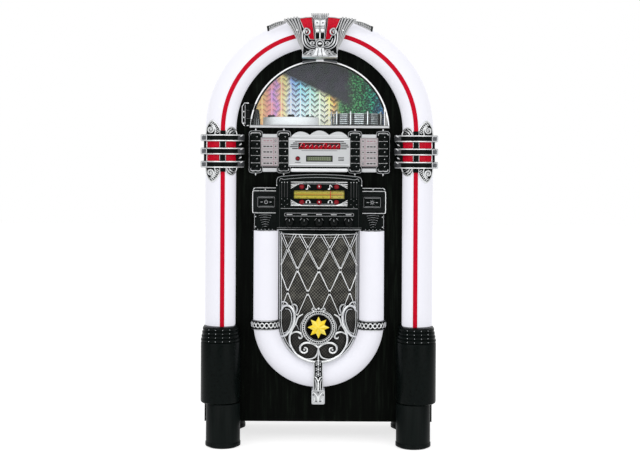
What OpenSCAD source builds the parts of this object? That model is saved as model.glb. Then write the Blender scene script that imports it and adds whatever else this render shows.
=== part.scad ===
// Floor-standing jukebox with a disc player, a radio and lit pillars.
// Millimetres, +Z up, the front faces -Y, and the origin is on the floor
// under the middle of the object.

/* [Cabinet] */
// Width of the wooden cabinet, side to side
cabinet_w = 536; // [520:2:660]
// Height of the arch's centre above the floor
arch_z = 769; // [740:1:930]
// Overall depth, from the pedestals to the back panel
overall_d = 310; // [300:2:380]
// Height of the cabinet's lower edge above the floor
base_z = 51; // [40:1:62]
// Thickness of the bent side and top panel
shell_t = 12; // [9:1:16]
// Thickness of the front panel
front_t = 9; // [6:1:12]
// Thickness of the back panel
back_t = 6; // [4:1:9]

/* [Pillar and arch lamps] */
// Width of a lamp cover inboard of its ridge
lamp_in = 29; // [24:1:34]
// Width of a lamp cover outboard of its ridge
lamp_out = 46; // [38:1:50]
// How far the covers stand out of the front panel
lamp_h = 52; // [51:1:64]
// Wall thickness of every lamp cover
lamp_t = 3; // [2:0.5:4]
// Width of the red stripe let into the ridge
stripe_w = 10.6; // [6:0.2:13]

/* [Pedestals and legs] */
// Width of a pedestal
pedestal_w = 95; // [80:1:110]
// Height of the pedestal's top above the floor
pedestal_top = 291; // [240:1:350]
// Height of the pedestal's lower edge above the floor
pedestal_foot = 106; // [88:1:130]
// Diameter of a leg
leg_d = 83; // [64:1:86]
// Thickness of the rubber pads
pad_t = 3; // [2:0.5:6]

/* [Window door] */
// Width of the dark band between the door and the arch lamp
door_border = 33; // [31:1:60]
// Width of the rim as seen from the front
rim_w = 6.5; // [4:0.5:10]
// Thickness of the clear pane
pane_t = 3; // [2:0.5:4]
// Diameter of the hinge pin
hinge_pin_d = 5; // [3:0.5:6]

/* [Disc player] */
// Radius of the disc deck
deck_r = 71; // [64:1:84]
// Height of the disc deck
deck_h = 31; // [16:1:40]
// Diameter of the spindle's shaft
spindle_d = 4; // [3:0.5:6]
// Radius of the stack of spare discs
stack_r = 66; // [54:1:72]

/* [Key panel] */
// Width of a key
key_w = 20; // [16:0.5:24]
// Height of a key
key_h = 15.6; // [12:0.2:16]
// Spacing of the keys in a column
key_pitch = 18; // [17.4:0.2:22]
// Travel of a key
key_travel = 3; // [1:0.5:4]
// Distance of the inner key columns from the middle
inner_column_x = 87.5; // [74:0.5:105]
// Spacing from an inner to an outer key column
column_gap = 69; // [58:0.5:84]

/* [Radio] */
// Diameter of a control knob
knob_d = 24; // [16:0.5:30]
// Spacing of the control knobs
knob_pitch = 36; // [30:0.5:44]
// Diameter of a knob's shaft
shaft_d = 6; // [4:0.5:8]
// Width of the tuning scale
scale_w = 123; // [100:1:150]
// Height of the tuning scale
scale_h = 20; // [14:1:24]
// Distance of the needle from the middle of the scale at rest
needle_x = 28; // [-50:1:50]
// Width of the power and light buttons
button_w = 39; // [30:1:48]
// Height of the power and light buttons
button_h = 23.4; // [18:0.2:30]

/* [Bow lamp and grille] */
// Outer radius of the bow lamp
bow_r = 160; // [132:1:164]
// Width of the bow lamp
bow_w = 60; // [50:1:74]
// How far the bow lamp stands out of the front panel
bow_h = 42; // [38:1:51]
// Radius of the bulge of the grille
grille_r = 140; // [130:1:170]
// Width of a lattice bar
bar_w = 3.2; // [2:0.2:5]
// Radius of the star badge, tip to centre
star_r = 26.5; // [20:0.5:32]

/* [Hidden] */
$fn = 96;
eps = 0.01;

// Clearances
slip = 0.4;        // a cap or cover in its opening
rest_gap = 0.3;    // curved faces that lie on each other
running = 0.05;    // a shaft in its bearing, on the radius

// Planes along Y
front_y = -overall_d / 2;
back_y = overall_d / 2;
crest_t = 26;
crest_gap = 2.6;
crest_setback = 5.4;
panel_y = front_y + crest_setback + crest_t + crest_gap + lamp_h;
panel_back = panel_y + front_t;
shell_back = back_y - back_t;

// Cabinet and arch
cab_half = cabinet_w / 2;
shell_in = cab_half - shell_t;
ridge_inset = 34;
ridge_r = cab_half - ridge_inset;
panel_half = ridge_r + lamp_out;
lamp_edge = ridge_r - lamp_in;
cover_joint = 0.2;
stripe_sink = 1;
stripe_proud = 1.5;
stripe_end = 77;
base_t = 12;
base_top = base_z + base_t;

// Disc chamber
shelf_t = 9;
shelf_z = arch_z + 2;
foil_t = 3;
deck_gap = 1.5;
deck_rear_gap = 2.5;
stack_foot = 4.5;
chamber_r = max(deck_r, stack_r + stack_foot);
deck_y = panel_back + deck_gap + chamber_r;
chamber_back = deck_y + chamber_r + deck_rear_gap;
deck_rim = 8;
deck_well = 3;
deck_floor = 4;
deck_x = -72;
spindle_hub_r = 8;
spindle_hub_h = 5;
stack_x = 98;
stack_n = 9;
disc_t = 2.4;
disc_gap = 1.4;
stack_base_h = 4;
stack_post_n = 10;
stack_post_d = 4;
stack_post_rise = 6;
arm_x = -157;
arm_y = panel_back + 26;
arm_h = 45;
arm_foot_r = 11;
arm_tip_r = 6;

// Window door and its hinge
door_r = lamp_edge - door_border;
door_z = shelf_z + 3.5;
rail_h = 7;
rim_d = 6.7;
pane_y = panel_y - rest_gap;
rim_y = pane_y - pane_t;
window_r = door_r - rim_w - 0.5;
hinge_x = -(door_r + 4.5);
hinge_y = panel_y - 9;
knuckle_r = 6;
knuckle_h = 16;
hinge_z = door_z + 6;
leaf_t = 2.4;
leaf_out = 15;
leaf_in = 3;
gusset_h = 56;
gusset_w = 17;

// Key panel
key_rows = 5;
outer_column_x = inner_column_x + column_gap;
columns = [-outer_column_x, -inner_column_x, inner_column_x, outer_column_x];
frame_w = 33;
frame_h = (key_rows - 1) * key_pitch + key_h + 19.4;
frame_drop = 6;
keys_z = door_z - frame_drop - frame_h / 2;
frame_t = 8;
frame_y = panel_y - frame_t;
frame_corner = 7;
finial_r = 2.4;
key_proud = key_travel + 7.5;
key_tail = 3;
card_w = column_gap - key_w - 4.5;
card_t = 4;
card_h = (key_rows - 1) * key_pitch - 0.4;
card_tab_w = column_gap - frame_w;
card_tab_h = 8.4;
card_strip_h = 9.6;
strip_gap = 3.8;
card_mid_z = keys_z;
fascia_half = inner_column_x - key_w / 2 - 1.9;
fascia_t = 6;
scallop_n = 3;
scallop_w = 47.5;
scallop_h = 15.5;
lcd_w = 63.6;
lcd_h = 13.7;
lcd_z = keys_z - 16;
sensor_x = -53;
sensor_d = 10;
name_w = 104;
name_h = 16.3;
name_z = keys_z + 15;

// Radio fascia
box_h = 130;
box_rise = 7;
radio_gap = 0.5;
radio_foot = keys_z - frame_h / 2 - radio_gap - box_rise - box_h;
wing_half = lamp_edge - 42;
wing_foot = radio_foot + 41;
wing_top = radio_foot + 104;
wing_t = 22;
louvre_half = wing_half - 4;
louvre_t = 19;
box_half = 104.6;
box_top = radio_foot + box_h;
box_t = 28;
crown_r = (box_half * box_half + box_rise * box_rise) / (2 * box_rise);
dial_w = scale_w + 17;
dial_h = 60.6;
dial_z = radio_foot + 88.7;
dial_d = 11;
scale_z = radio_foot + 87;
scale_t = 2;
scale_lip = 2.5;
needle_w = 1.6;
needle_t = 0.9;
pocket_d = scale_t + needle_t + 2 * rest_gap;
knob_z = radio_foot + 19.5;
knob_n = 5;
knob_l = 18;
knob_gap = 0.6;
button_x = (wing_half + 96.5) / 2;
button_z = radio_foot + 68.4;
button_proud = 5;
button_travel = 4;

// Bow lamp and grille
bow_z = base_z + 248;
bow_top = radio_foot - 2;
bow_mid = bow_r - bow_w / 2;
bow_in = bow_r - bow_w;
grille_top = bow_top - 1;
rim_out = bow_in - 1.5;
rim_in = rim_out - 4.5;
bulge_h = bow_h + 5;
bulge_y = panel_y - bulge_h + grille_r;
lattice_t = 3.6;
lattice_theta = 21.9;
lattice_top = grille_top - 9;
lattice_row0 = grille_top + 5;
row_pitch = 47;
row_growth = 1.08;
lattice_end = 14;
lattice_rows = floor(ln(1 + (lattice_row0 - bow_z - lattice_end) * (row_growth - 1) / row_pitch)
    / ln(row_growth));
boss_r = 4;
boss_trim = 2.2;
medal_z = bow_z - 9;
medal_out = 41;
medal_in = 33.5;
medal_y = panel_y - bulge_h - 11;
badge_t = 4;
star_t = 4;
band_z = bow_z - 18;
band_h = 23.5;
band_gap = 1.7;
band_grow = band_gap + 2.5;
clasp_w = 22;
strap_t = 4;
clasp_foot_w = 32.5;
clasp_foot_h = 36;
clasp_top = bow_z - bow_in + 9;
driver_x = 48;
driver_z = bow_z + 101;
driver_r = 47;
driver_hole = 41;

// Side clamps and crest
clamp_z = arch_z - 52.5;
clamp_in = 49;
clamp_out = 53.5;
clamp_rise = 12;
bar_h = 16;
bar_pitch = 32.2;
post_w = 12;
lens_grow = 4;
leaf_grow = 7;
crest_y = panel_y - lamp_h - crest_gap;
crest_foot_h = 22;
crest_foot = arch_z + lamp_edge - crest_foot_h - 9;
crest_top = arch_z + panel_half;
crest_half = 43;
panel_sink = 9;
panel_floor = 5.7;

// Pedestals and legs
pedestal_x = ridge_r + 4.7;
pedestal_y = front_y + pedestal_w / 2;
collar_n = 4;
collar_rib = 9;
collar_step = 1.5;
collar_groove = 2;
pedestal_wall = 6;
leg_x = ridge_r - 3;
leg_y = panel_y - 1 - leg_d / 2;
flange_h = 10;
flange_grow = 2.5;
rear_leg_y = back_y - 59;
pad_r = leg_d / 2 - 5;

// Wiring and fasteners at the back
screw_d = 3.2;
screw_head_d = 8;
screw_head_h = 2;
screw_l = 18;
screw_gap = 0.1;
screw_arc = [30, 60, 90, 120, 150];
screw_side_z = [base_z + 60, base_z + 260, base_z + 460, arch_z - 60];
screw_r = cab_half - shell_t / 2;
screw_places = concat(
    [for (a = screw_arc) [screw_r * cos(a), arch_z + screw_r * sin(a)]],
    [for (z = screw_side_z, s = [-1, 1]) [s * screw_r, z]]);
inlet_x = -150;
inlet_z = base_z + 60;
inlet_w = 30;
inlet_h = 24;
inlet_d = 24;
inlet_wall = 3;
inlet_recess = 16;
inlet_pin_d = 2.4;
inlet_pin_l = 8;
board_z = base_top + 8;
board_w = 150;
board_d = 90;
board_t = 1.6;
core_w = 66;
core_h = 56;
coil_w = 48;
coil_h = 40;

// Shared shapes

// A flat shape in X and Z, made solid from plane y0 back to plane y1.
module slab(y0, y1) {
    translate([0, y1, 0]) rotate([90, 0, 0]) linear_extrude(y1 - y0) children();
}

// The same shape on the left and on the right.
module both_sides() {
    children();
    mirror([1, 0, 0]) children();
}

// Upright outline with a round top, centred on the arch.
module arch_outline(half, foot) {
    translate([0, arch_z]) circle(half);
    translate([-half, foot]) square([2 * half, arch_z - foot]);
}

// Upright outline with a round foot, centred on the bow.
module bow_outline(half, top) {
    translate([0, bow_z]) circle(half);
    translate([-half, bow_z]) square([2 * half, top - bow_z]);
}

// Rectangle about a centre.
module plate(w, h) {
    square([w, h], center = true);
}

// Rectangle about a centre with round corners.
module round_plate(w, h, r) {
    square([w - 2 * r, h], center = true);
    square([w, h - 2 * r], center = true);
    for (sx = [-1, 1], sy = [-1, 1])
        translate([sx * (w / 2 - r), sy * (h / 2 - r)]) circle(r);
}

// One side of a lamp's section: a quarter round of radius r under the height
// top, with a straight flank down to the height back.
module half_round(r, top, back) {
    intersection() {
        translate([0, top - r]) circle(r);
        translate([0, top - r]) square(r + 1);
    }
    translate([0, back]) square([r, top - r - back]);
}

// Section of a pillar lamp about its ridge, X outboard and Y out of the panel.
module lamp_section(grow, back) {
    half_round(lamp_out + grow, lamp_h + grow, back);
    mirror([1, 0]) half_round(lamp_in + grow, lamp_h + grow, back);
}

// Room for the stripe and its groove under whatever goes round a lamp.
module stripe_room(gap) {
    translate([-stripe_w / 2 - gap, lamp_h - stripe_sink])
        square([stripe_w + 2 * gap, stripe_sink + stripe_proud + gap]);
}

module lamp_cover_section() {
    difference() {
        lamp_section(0, 0);
        lamp_section(-lamp_t, -1);
        stripe_room(rest_gap);
    }
}

// Section of the bow lamp about its middle.
module bow_section(grow, back) {
    half_round(bow_w / 2 + grow, bow_h + grow, back);
    mirror([1, 0]) half_round(bow_w / 2 + grow, bow_h + grow, back);
}

module bow_cover_section() {
    difference() {
        bow_section(0, 0);
        bow_section(-lamp_t, -1);
    }
}

// A section made upright at the distance x, from z0 up to z1.
module upright(x, z0, z1) {
    translate([x, panel_y, z0]) linear_extrude(z1 - z0) mirror([0, 1]) children();
}

// A section turned about the arch or bow centre at height z, from one angle to another.
module turned(x, z, from, to) {
    translate([0, panel_y, z]) rotate([90, 0, 0]) rotate([0, 0, from])
        rotate_extrude(angle = to - from, $fn = 180) translate([x, 0]) children();
}

// A round bar along Y from y0 to y1.
module rod(x, z, r, y0, y1) {
    translate([x, y1, z]) rotate([90, 0, 0]) cylinder(h = y1 - y0, r = r);
}

// Cabinet

module cabinet_shell() {
    color("#141414") difference() {
        slab(panel_back, shell_back) difference() {
            arch_outline(cab_half, base_z);
            arch_outline(shell_in, base_z - 1);
        }
        for (p = screw_places)
            rod(p[0], p[1], screw_d / 2 + screw_gap, shell_back - screw_l, shell_back + eps);
    }
}

module window_outline(r, z) {
    intersection() {
        translate([0, arch_z]) circle(r);
        translate([-r - 1, z]) square([2 * r + 2, r + arch_z - z + 1]);
    }
}

module front_panel() {
    slot_h = (key_rows - 1) * key_pitch + key_h + 4;
    color("#101010") slab(panel_y, panel_back) difference() {
        arch_outline(panel_half, base_z);
        window_outline(window_r, door_z + rail_h);
        for (x = columns) translate([x, keys_z]) plate(key_w + 4, slot_h);
        translate([0, lcd_z]) plate(lcd_w - 6, lcd_h - 4);
        translate([0, (dial_z + knob_z) / 2]) plate(2 * box_half - 30, dial_z - knob_z + 30);
        for (s = [-1, 1]) {
            translate([s * button_x, button_z]) plate(button_w - 8, button_h - 8);
            translate([s * driver_x, driver_z]) circle(driver_hole);
        }
    }
}

module back_panel() {
    color("#161616") difference() {
        slab(shell_back, back_y) difference() {
            arch_outline(cab_half, base_z);
            translate([inlet_x, inlet_z]) plate(inlet_w + slip, inlet_h + slip);
        }
        for (p = screw_places) {
            rod(p[0], p[1], screw_d / 2 + screw_gap, shell_back - 1, back_y + 1);
            rod(p[0], p[1], screw_head_d / 2 + screw_gap, back_y - screw_head_h, back_y + 1);
        }
    }
}

module back_screws() {
    color("silver") for (p = screw_places) {
        rod(p[0], p[1], screw_d / 2, shell_back - screw_l + 1, back_y - screw_head_h + eps);
        rod(p[0], p[1], screw_head_d / 2, back_y - screw_head_h, back_y);
    }
}

module base_board() {
    color("#1a1a1a") translate([-shell_in, panel_back, base_z])
        cube([2 * shell_in, shell_back - panel_back, base_t]);
}

module deck_shelf() {
    color("#e8e8ea") translate([-shell_in + rest_gap, panel_back, shelf_z - shelf_t])
        cube([2 * (shell_in - rest_gap), chamber_back + foil_t - panel_back, shelf_t]);
}

module foil_backdrop() {
    color("#9fb0b5") slab(chamber_back, chamber_back + foil_t)
        window_outline(shell_in - rest_gap, shelf_z);
}

// Lamps

module lamp_covers() {
    color("#f4f4f8") {
        turned(ridge_r, arch_z + cover_joint, 0, 180) lamp_cover_section();
        both_sides() upright(ridge_r, pedestal_top, arch_z) lamp_cover_section();
    }
}

module red_stripes() {
    color("#d3122f") both_sides() {
        upright(ridge_r, pedestal_top, arch_z) stripe_section();
        turned(ridge_r, arch_z, 0, stripe_end) stripe_section();
    }
}

module stripe_section() {
    translate([-stripe_w / 2, lamp_h - stripe_sink])
        square([stripe_w, stripe_sink + stripe_proud]);
}

module led_strips() {
    strip_w = 10;
    strip_t = 1.6;
    color("#f2f2f2") {
        turned(ridge_r, arch_z, 0, 180) translate([-strip_w / 2, 0]) square([strip_w, strip_t]);
        both_sides() {
            upright(ridge_r, pedestal_top, arch_z)
                translate([-strip_w / 2, 0]) square([strip_w, strip_t]);
            upright(bow_mid, bow_z, bow_top)
                translate([-strip_w / 2, 0]) square([strip_w, strip_t]);
        }
        turned(bow_mid, bow_z, 180, 360) translate([-strip_w / 2, 0]) square([strip_w, strip_t]);
    }
}

// Side clamps

module clamp_bar_section() {
    difference() {
        union() {
            half_round(clamp_out, lamp_h + clamp_rise, 0);
            mirror([1, 0]) half_round(clamp_in, lamp_h + clamp_rise, 0);
        }
        lamp_section(rest_gap, -1);
        stripe_room(2 * rest_gap);
    }
}

// Wall that lies on the lamp, between two distances from its surface.
module lamp_wall_section(inner, outer) {
    difference() {
        lamp_section(outer, 0);
        lamp_section(inner, -1);
        stripe_room(2 * rest_gap);
    }
}

// Silhouette of a clamp's leaves above its bars, about the ridge.
module leaf_outline() {
    polygon([[9, -2], [44, -2], [42, 12], [34, 27], [25, 34], [17, 26], [10, 8]]);
    translate([-18, 4]) circle(13);
}

module clamp_leaf(z, up) {
    leaf_h = 36;
    intersection() {
        upright(ridge_r, z - leaf_h, z + leaf_h) lamp_wall_section(rest_gap, leaf_grow);
        slab(panel_y - lamp_h - 20, panel_y)
            translate([ridge_r, z]) mirror([0, up ? 0 : 1]) leaf_outline();
    }
}

module side_clamp() {
    top_z = clamp_z + bar_pitch + bar_h / 2;
    foot_z = clamp_z - bar_pitch - bar_h / 2;
    post_y = lamp_h + clamp_rise - 3;
    for (i = [-1, 0, 1])
        upright(ridge_r, clamp_z + i * bar_pitch - bar_h / 2, clamp_z + i * bar_pitch + bar_h / 2)
            clamp_bar_section();
    upright(ridge_r, foot_z, top_z) difference() {
        intersection() {
            union() {
                half_round(clamp_out - 4, post_y, 0);
                mirror([1, 0]) half_round(clamp_in - 6, post_y, 0);
            }
            union() {
                translate([-post_w / 2, 0]) square([post_w, 2 * lamp_h]);
                translate([lamp_out - 6, 0]) square([20, lamp_h / 2]);
                translate([-lamp_in - 20, 0]) square([20, lamp_h / 2]);
            }
        }
        lamp_section(lens_grow + rest_gap, -1);
    }
    clamp_leaf(top_z, true);
    clamp_leaf(foot_z, false);
}

module side_clamps() {
    color("#c9cccf") both_sides() side_clamp();
}

module clamp_lens(i) {
    low = clamp_z + i * bar_pitch + bar_h / 2 + 0.1;
    upright(ridge_r, low, low + bar_pitch - bar_h - 0.2)
        lamp_wall_section(rest_gap, lens_grow);
}

// Outline of a red panel in the crest, on the right.
module crest_panel(gap) {
    polygon([[15 + gap, crest_top - 60 + gap], [23 - gap, crest_top - 60 + gap],
        [46 - 2 * gap, crest_top - 13 - gap], [20 + gap, crest_top - 11 - gap]]);
}

module red_lenses() {
    color("#d3122f") both_sides() {
        clamp_lens(-1);
        clamp_lens(0);
        slab(crest_y - crest_t + panel_sink, crest_y - panel_floor) crest_panel(rest_gap);
    }
    color("#8d1020") {
        rod(sensor_x, lcd_z, sensor_d / 2, frame_y - fascia_t, frame_y);
        translate([sensor_x, frame_y - fascia_t, lcd_z]) rotate([90, 0, 0])
            cylinder(h = 1.6, r1 = sensor_d / 2, r2 = sensor_d / 2 - 1.6);
    }
}

// Crest

module crest() {
    wing_x = 130;
    color("#c9cccf") {
        // Foot that stands on the front panel inside the arch lamp
        slab(crest_y - crest_t, panel_y)
            translate([-crest_half, crest_foot]) square([2 * crest_half, crest_foot_h]);
        // Fan with its two windows
        difference() {
            slab(crest_y - crest_t + 4, crest_y) polygon([
                [-crest_half, crest_foot + 20], [crest_half, crest_foot + 20],
                [83, crest_top - 13], [46, crest_top - 7], [-46, crest_top - 7],
                [-83, crest_top - 13]]);
            slab(crest_y - crest_t, crest_y - panel_floor) both_sides() crest_panel(0);
        }
        // Middle column
        slab(crest_y - crest_t, crest_y - 4) polygon([
            [-12, crest_foot + 20], [12, crest_foot + 20], [19, crest_top - 6],
            [19, crest_top], [-19, crest_top], [-19, crest_top - 6]]);
        both_sides() {
            // Scroll
            slab(crest_y - crest_t, crest_y - crest_t + panel_sink - rest_gap)
                translate([36, crest_top - 50]) circle(11);
            // Feather that lies along the arch
            slab(crest_y - crest_t / 2 - 4, crest_y) polygon([
                [66, crest_top - 30], [80, crest_top - 15], [wing_x, crest_top - 33],
                [wing_x - 4, crest_top - 46]]);
        }
    }
}

// Pedestals and legs

module pedestal_section(w) {
    intersection() {
        translate([0, pedestal_y]) circle(w / 2);
        translate([-w, front_y - 1]) square([2 * w, pedestal_y - front_y + 1]);
    }
    translate([-w / 2, pedestal_y]) square([w, panel_y - pedestal_y]);
}

module pedestals() {
    collar_foot = pedestal_top - collar_n * collar_rib;
    color("#131516") both_sides() translate([pedestal_x, 0, 0]) difference() {
        union() {
            translate([0, 0, pedestal_foot]) linear_extrude(collar_foot - pedestal_foot)
                pedestal_section(pedestal_w);
            for (i = [0 : collar_n - 1])
                translate([0, 0, collar_foot + i * collar_rib]) {
                    linear_extrude(collar_rib - collar_groove)
                        pedestal_section(pedestal_w - 2 * collar_step * i);
                    translate([0, 0, collar_rib - collar_groove]) linear_extrude(collar_groove)
                        pedestal_section(pedestal_w - 2 * collar_step * (i + 1) - 2);
                }
        }
        // Hollow behind, open to the panel
        translate([0, 0, pedestal_foot + pedestal_wall])
            linear_extrude(collar_foot - pedestal_foot - 2 * pedestal_wall)
            translate([0, pedestal_wall]) pedestal_section(pedestal_w - 2 * pedestal_wall);
    }
}

module legs() {
    color("#131516") both_sides() {
        translate([leg_x, leg_y, pad_t]) {
            cylinder(h = pedestal_foot - pad_t, d = leg_d);
            cylinder(h = flange_h, d = leg_d + flange_grow);
        }
        translate([leg_x, rear_leg_y, pad_t]) {
            cylinder(h = base_z - pad_t, d = leg_d);
            cylinder(h = flange_h, d = leg_d + flange_grow);
        }
    }
}

module foot_pads() {
    color("#222222") both_sides() for (y = [leg_y, rear_leg_y])
        translate([leg_x, y, 0]) cylinder(h = pad_t, r = pad_r);
}

// Window door

module door_hinge() {
    low = hinge_z + knuckle_h + slip;
    high = low + knuckle_h + 4;
    color("#2a2c2e") {
        translate([hinge_x - leaf_out, panel_y - leaf_t, hinge_z - 3])
            cube([leaf_out + leaf_in, leaf_t, 3 * knuckle_h + 11]);
        translate([hinge_x - 4, hinge_y, low])
            cube([8, panel_y - hinge_y - 1, high - low]);
        translate([hinge_x, hinge_y, low]) cylinder(h = high - low, r = knuckle_r);
        translate([hinge_x, hinge_y, hinge_z - 2])
            cylinder(h = 3 * knuckle_h + 9, d = hinge_pin_d);
    }
}

module door_frame() {
    upper = hinge_z + 2 * knuckle_h + 4 + 2 * slip;
    color("#d6d8da") difference() {
        union() {
            slab(rim_y - rim_d, rim_y) difference() {
                window_outline(door_r, door_z);
                window_outline(door_r - rim_w, door_z + rail_h);
            }
            // Corner plates at both ends of the rail
            slab(rim_y - rim_d / 2, rim_y) intersection() {
                window_outline(door_r - 1, door_z);
                for (s = [-1, 1]) translate([s * (door_r - gusset_w / 2), door_z + gusset_h / 2])
                    plate(gusset_w + 8, gusset_h);
            }
            for (z = [hinge_z, upper]) {
                translate([hinge_x, hinge_y, z]) cylinder(h = knuckle_h, r = knuckle_r);
                translate([hinge_x, rim_y - rim_d, z])
                    cube([door_arm(z + knuckle_h), rim_d - 0.5, knuckle_h]);
            }
        }
        for (z = [hinge_z, upper]) translate([hinge_x, hinge_y, z - 1])
            cylinder(h = knuckle_h + 2, d = hinge_pin_d + 2 * running);
    }
}

// Reach of a hinge arm from the pin into the rim at height z.
function door_arm(z) = -hinge_x - sqrt(pow(door_r - rim_w / 2, 2) - pow(z - arch_z, 2));

module door_pane() {
    color("#dfe8ea", 0.3) slab(rim_y, pane_y) window_outline(door_r - 0.5, door_z);
}

// Disc chamber

module disc_deck() {
    color("#f2f2f5") translate([deck_x, deck_y, shelf_z]) difference() {
        cylinder(h = deck_h, r = deck_r);
        translate([0, 0, deck_h - deck_well]) cylinder(h = deck_well + 1, r = deck_r - deck_rim);
        translate([0, 0, deck_floor]) cylinder(h = deck_h, d = spindle_d + 2 * running);
    }
}

module spindle() {
    shaft_l = deck_h - deck_well - deck_floor - 1 + rest_gap;
    catch_d = 3;
    color("#1c1c1c") translate([deck_x, deck_y, shelf_z + deck_floor + 1]) {
        cylinder(h = shaft_l + eps, d = spindle_d);
        translate([0, 0, shaft_l]) cylinder(h = spindle_hub_h, r = spindle_hub_r);
        for (a = [0, 120, 240])
            rotate([0, 0, a]) translate([spindle_hub_r - catch_d, 0, shaft_l + spindle_hub_h - eps])
                cylinder(h = catch_d, d = catch_d);
    }
}

module changer_arm() {
    color("#26282a") translate([arm_x, arm_y, shelf_z]) {
        cylinder(h = 3, r = arm_foot_r + 2);
        cylinder(h = arm_h, r1 = arm_foot_r, r2 = arm_tip_r);
        translate([0, 0, arm_h]) sphere(arm_tip_r);
    }
}

module disc_stack() {
    pitch = disc_t + disc_gap;
    core_h = stack_base_h + stack_n * pitch + 2;
    post_r = stack_r + 0.3 + stack_post_d / 2;
    color("#3a3d40") translate([stack_x, deck_y, shelf_z]) {
        cylinder(h = stack_base_h, r = stack_r + stack_foot);
        cylinder(h = core_h, r = stack_r - 4);
        for (i = [0 : stack_post_n - 1])
            rotate([0, 0, i * 360 / stack_post_n]) translate([post_r, 0, 0])
                cylinder(h = core_h + stack_post_rise, d = stack_post_d);
        for (i = [0 : stack_n - 1])
            translate([0, 0, stack_base_h + disc_gap + i * pitch]) cylinder(h = disc_t, r = stack_r);
    }
}

// Key panel

function key_z(row) = keys_z + ((key_rows - 1) / 2 - row) * key_pitch;

module key_frames() {
    color("#1b1d1f") for (x = columns) {
        slab(frame_y, panel_y) difference() {
            translate([x, keys_z]) round_plate(frame_w, frame_h, frame_corner);
            for (row = [0 : key_rows - 1])
                translate([x, key_z(row)]) plate(key_w + 2 * slip, key_h + 2 * slip);
        }
        for (s = [-1, 1])
            rod(x, keys_z + s * (frame_h / 2 + 1), finial_r, frame_y, panel_y);
    }
}

module key_cap(x, row) {
    slab(panel_y - frame_t - key_proud, panel_y + key_tail)
        translate([x, key_z(row)]) round_plate(key_w, key_h, 2);
}

module dummy_keys() {
    color("#101112") for (x = [-outer_column_x, outer_column_x], row = [0 : key_rows - 1])
        key_cap(x, row);
}

module key(index) {
    x = index < key_rows ? -inner_column_x : inner_column_x;
    color("#101112") key_cap(x, index % key_rows);
}

module title_cards() {
    color("#d9cfd6") for (s = [-1, 1])
        translate([s * (inner_column_x + column_gap / 2), 0, 0]) {
            slab(frame_y - card_t, frame_y) translate([0, card_mid_z]) plate(card_w, card_h);
            slab(frame_y - card_t + 1.5, panel_y) {
                translate([-card_tab_w / 2 + 0.2, card_mid_z + card_h / 2 - 1])
                    square([card_tab_w - 0.4, card_tab_h + 1]);
                translate([-card_tab_w / 2 + 0.6, card_mid_z - card_h / 2 - strip_gap - card_strip_h])
                    square([card_tab_w - 1.2, card_strip_h]);
                translate([-card_tab_w / 2 + 4, card_mid_z - card_h / 2 - strip_gap - 1])
                    square([card_tab_w - 8, strip_gap + 2]);
            }
        }
}

module scallop_outline() {
    base = card_mid_z + card_h / 2 - 1;
    half = fascia_half - 5;
    r = (pow(scallop_w / 2, 2) + pow(scallop_h - 4, 2)) / (2 * (scallop_h - 4));
    intersection() {
        for (i = [0 : scallop_n - 1])
            translate([(i - 1) * scallop_w, base + scallop_h + (i == 1 ? 2.5 : 0) - r]) circle(r);
        translate([-half, base]) square([2 * half, scallop_h + 4]);
    }
    translate([-half, base - 1]) square([2 * half, 6]);
}

module player_fascia() {
    wedge_half = inner_column_x - frame_w / 2 - 0.8;
    color("#c4c6ca") difference() {
        union() {
            slab(frame_y - fascia_t, frame_y) translate([0, card_mid_z]) plate(2 * fascia_half, card_h);
            slab(frame_y - fascia_t + 2, panel_y) {
                intersection() {
                    scallop_outline();
                    translate([-wedge_half, 0]) square([2 * wedge_half, 2 * arch_z]);
                }
                translate([-wedge_half, card_mid_z - card_h / 2 - strip_gap - card_strip_h])
                    square([2 * wedge_half, card_strip_h]);
                translate([-wedge_half + 6, card_mid_z - card_h / 2 - strip_gap - 1])
                    square([2 * wedge_half - 12, strip_gap + 2]);
            }
        }
        slab(frame_y - fascia_t - 1, frame_y + 1) translate([0, lcd_z]) plate(lcd_w, lcd_h);
        rod(sensor_x, lcd_z, sensor_d / 2 + running, frame_y - fascia_t - 1, frame_y + 1);
        slab(frame_y - fascia_t - 1, frame_y - fascia_t + 2)
            translate([0, name_z]) plate(name_w + slip, name_h + slip);
    }
}

module name_plate() {
    color("#2a0a0e") slab(frame_y - fascia_t - 0.8, frame_y - fascia_t + 2)
        translate([0, name_z]) plate(name_w, name_h);
}

module lcd_glass() {
    color("#8d967c") slab(frame_y - fascia_t + 1.2, frame_y)
        translate([0, lcd_z]) plate(lcd_w - slip, lcd_h - slip);
}

// Radio

function knob_x(i) = (i - (knob_n - 1) / 2) * knob_pitch;

module radio_box_outline() {
    intersection() {
        translate([0, box_top + box_rise - crown_r]) circle(crown_r, $fn = 360);
        translate([-box_half, radio_foot]) square([2 * box_half, box_top + box_rise - radio_foot + 1]);
    }
}

module radio_fascia() {
    face = panel_y - box_t;
    color("#17191b") difference() {
        union() {
            slab(face, panel_y) radio_box_outline();
            slab(panel_y - wing_t, panel_y) translate([-wing_half, wing_foot])
                square([2 * wing_half, wing_top - wing_foot]);
            slab(panel_y - louvre_t, panel_y) translate([-louvre_half, radio_foot])
                square([2 * louvre_half, wing_foot - radio_foot + 1]);
        }
        slab(face - 1, face + dial_d) translate([0, dial_z]) plate(dial_w + slip, dial_h + slip);
        for (s = [-1, 1]) slab(face - 1, panel_y + 1) translate([s * button_x, button_z])
            plate(button_w + 2 * slip, button_h + 2 * slip);
        for (i = [0 : knob_n - 1])
            rod(knob_x(i), knob_z, shaft_d / 2 + running, face - 1, panel_y + 1);
    }
}

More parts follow.
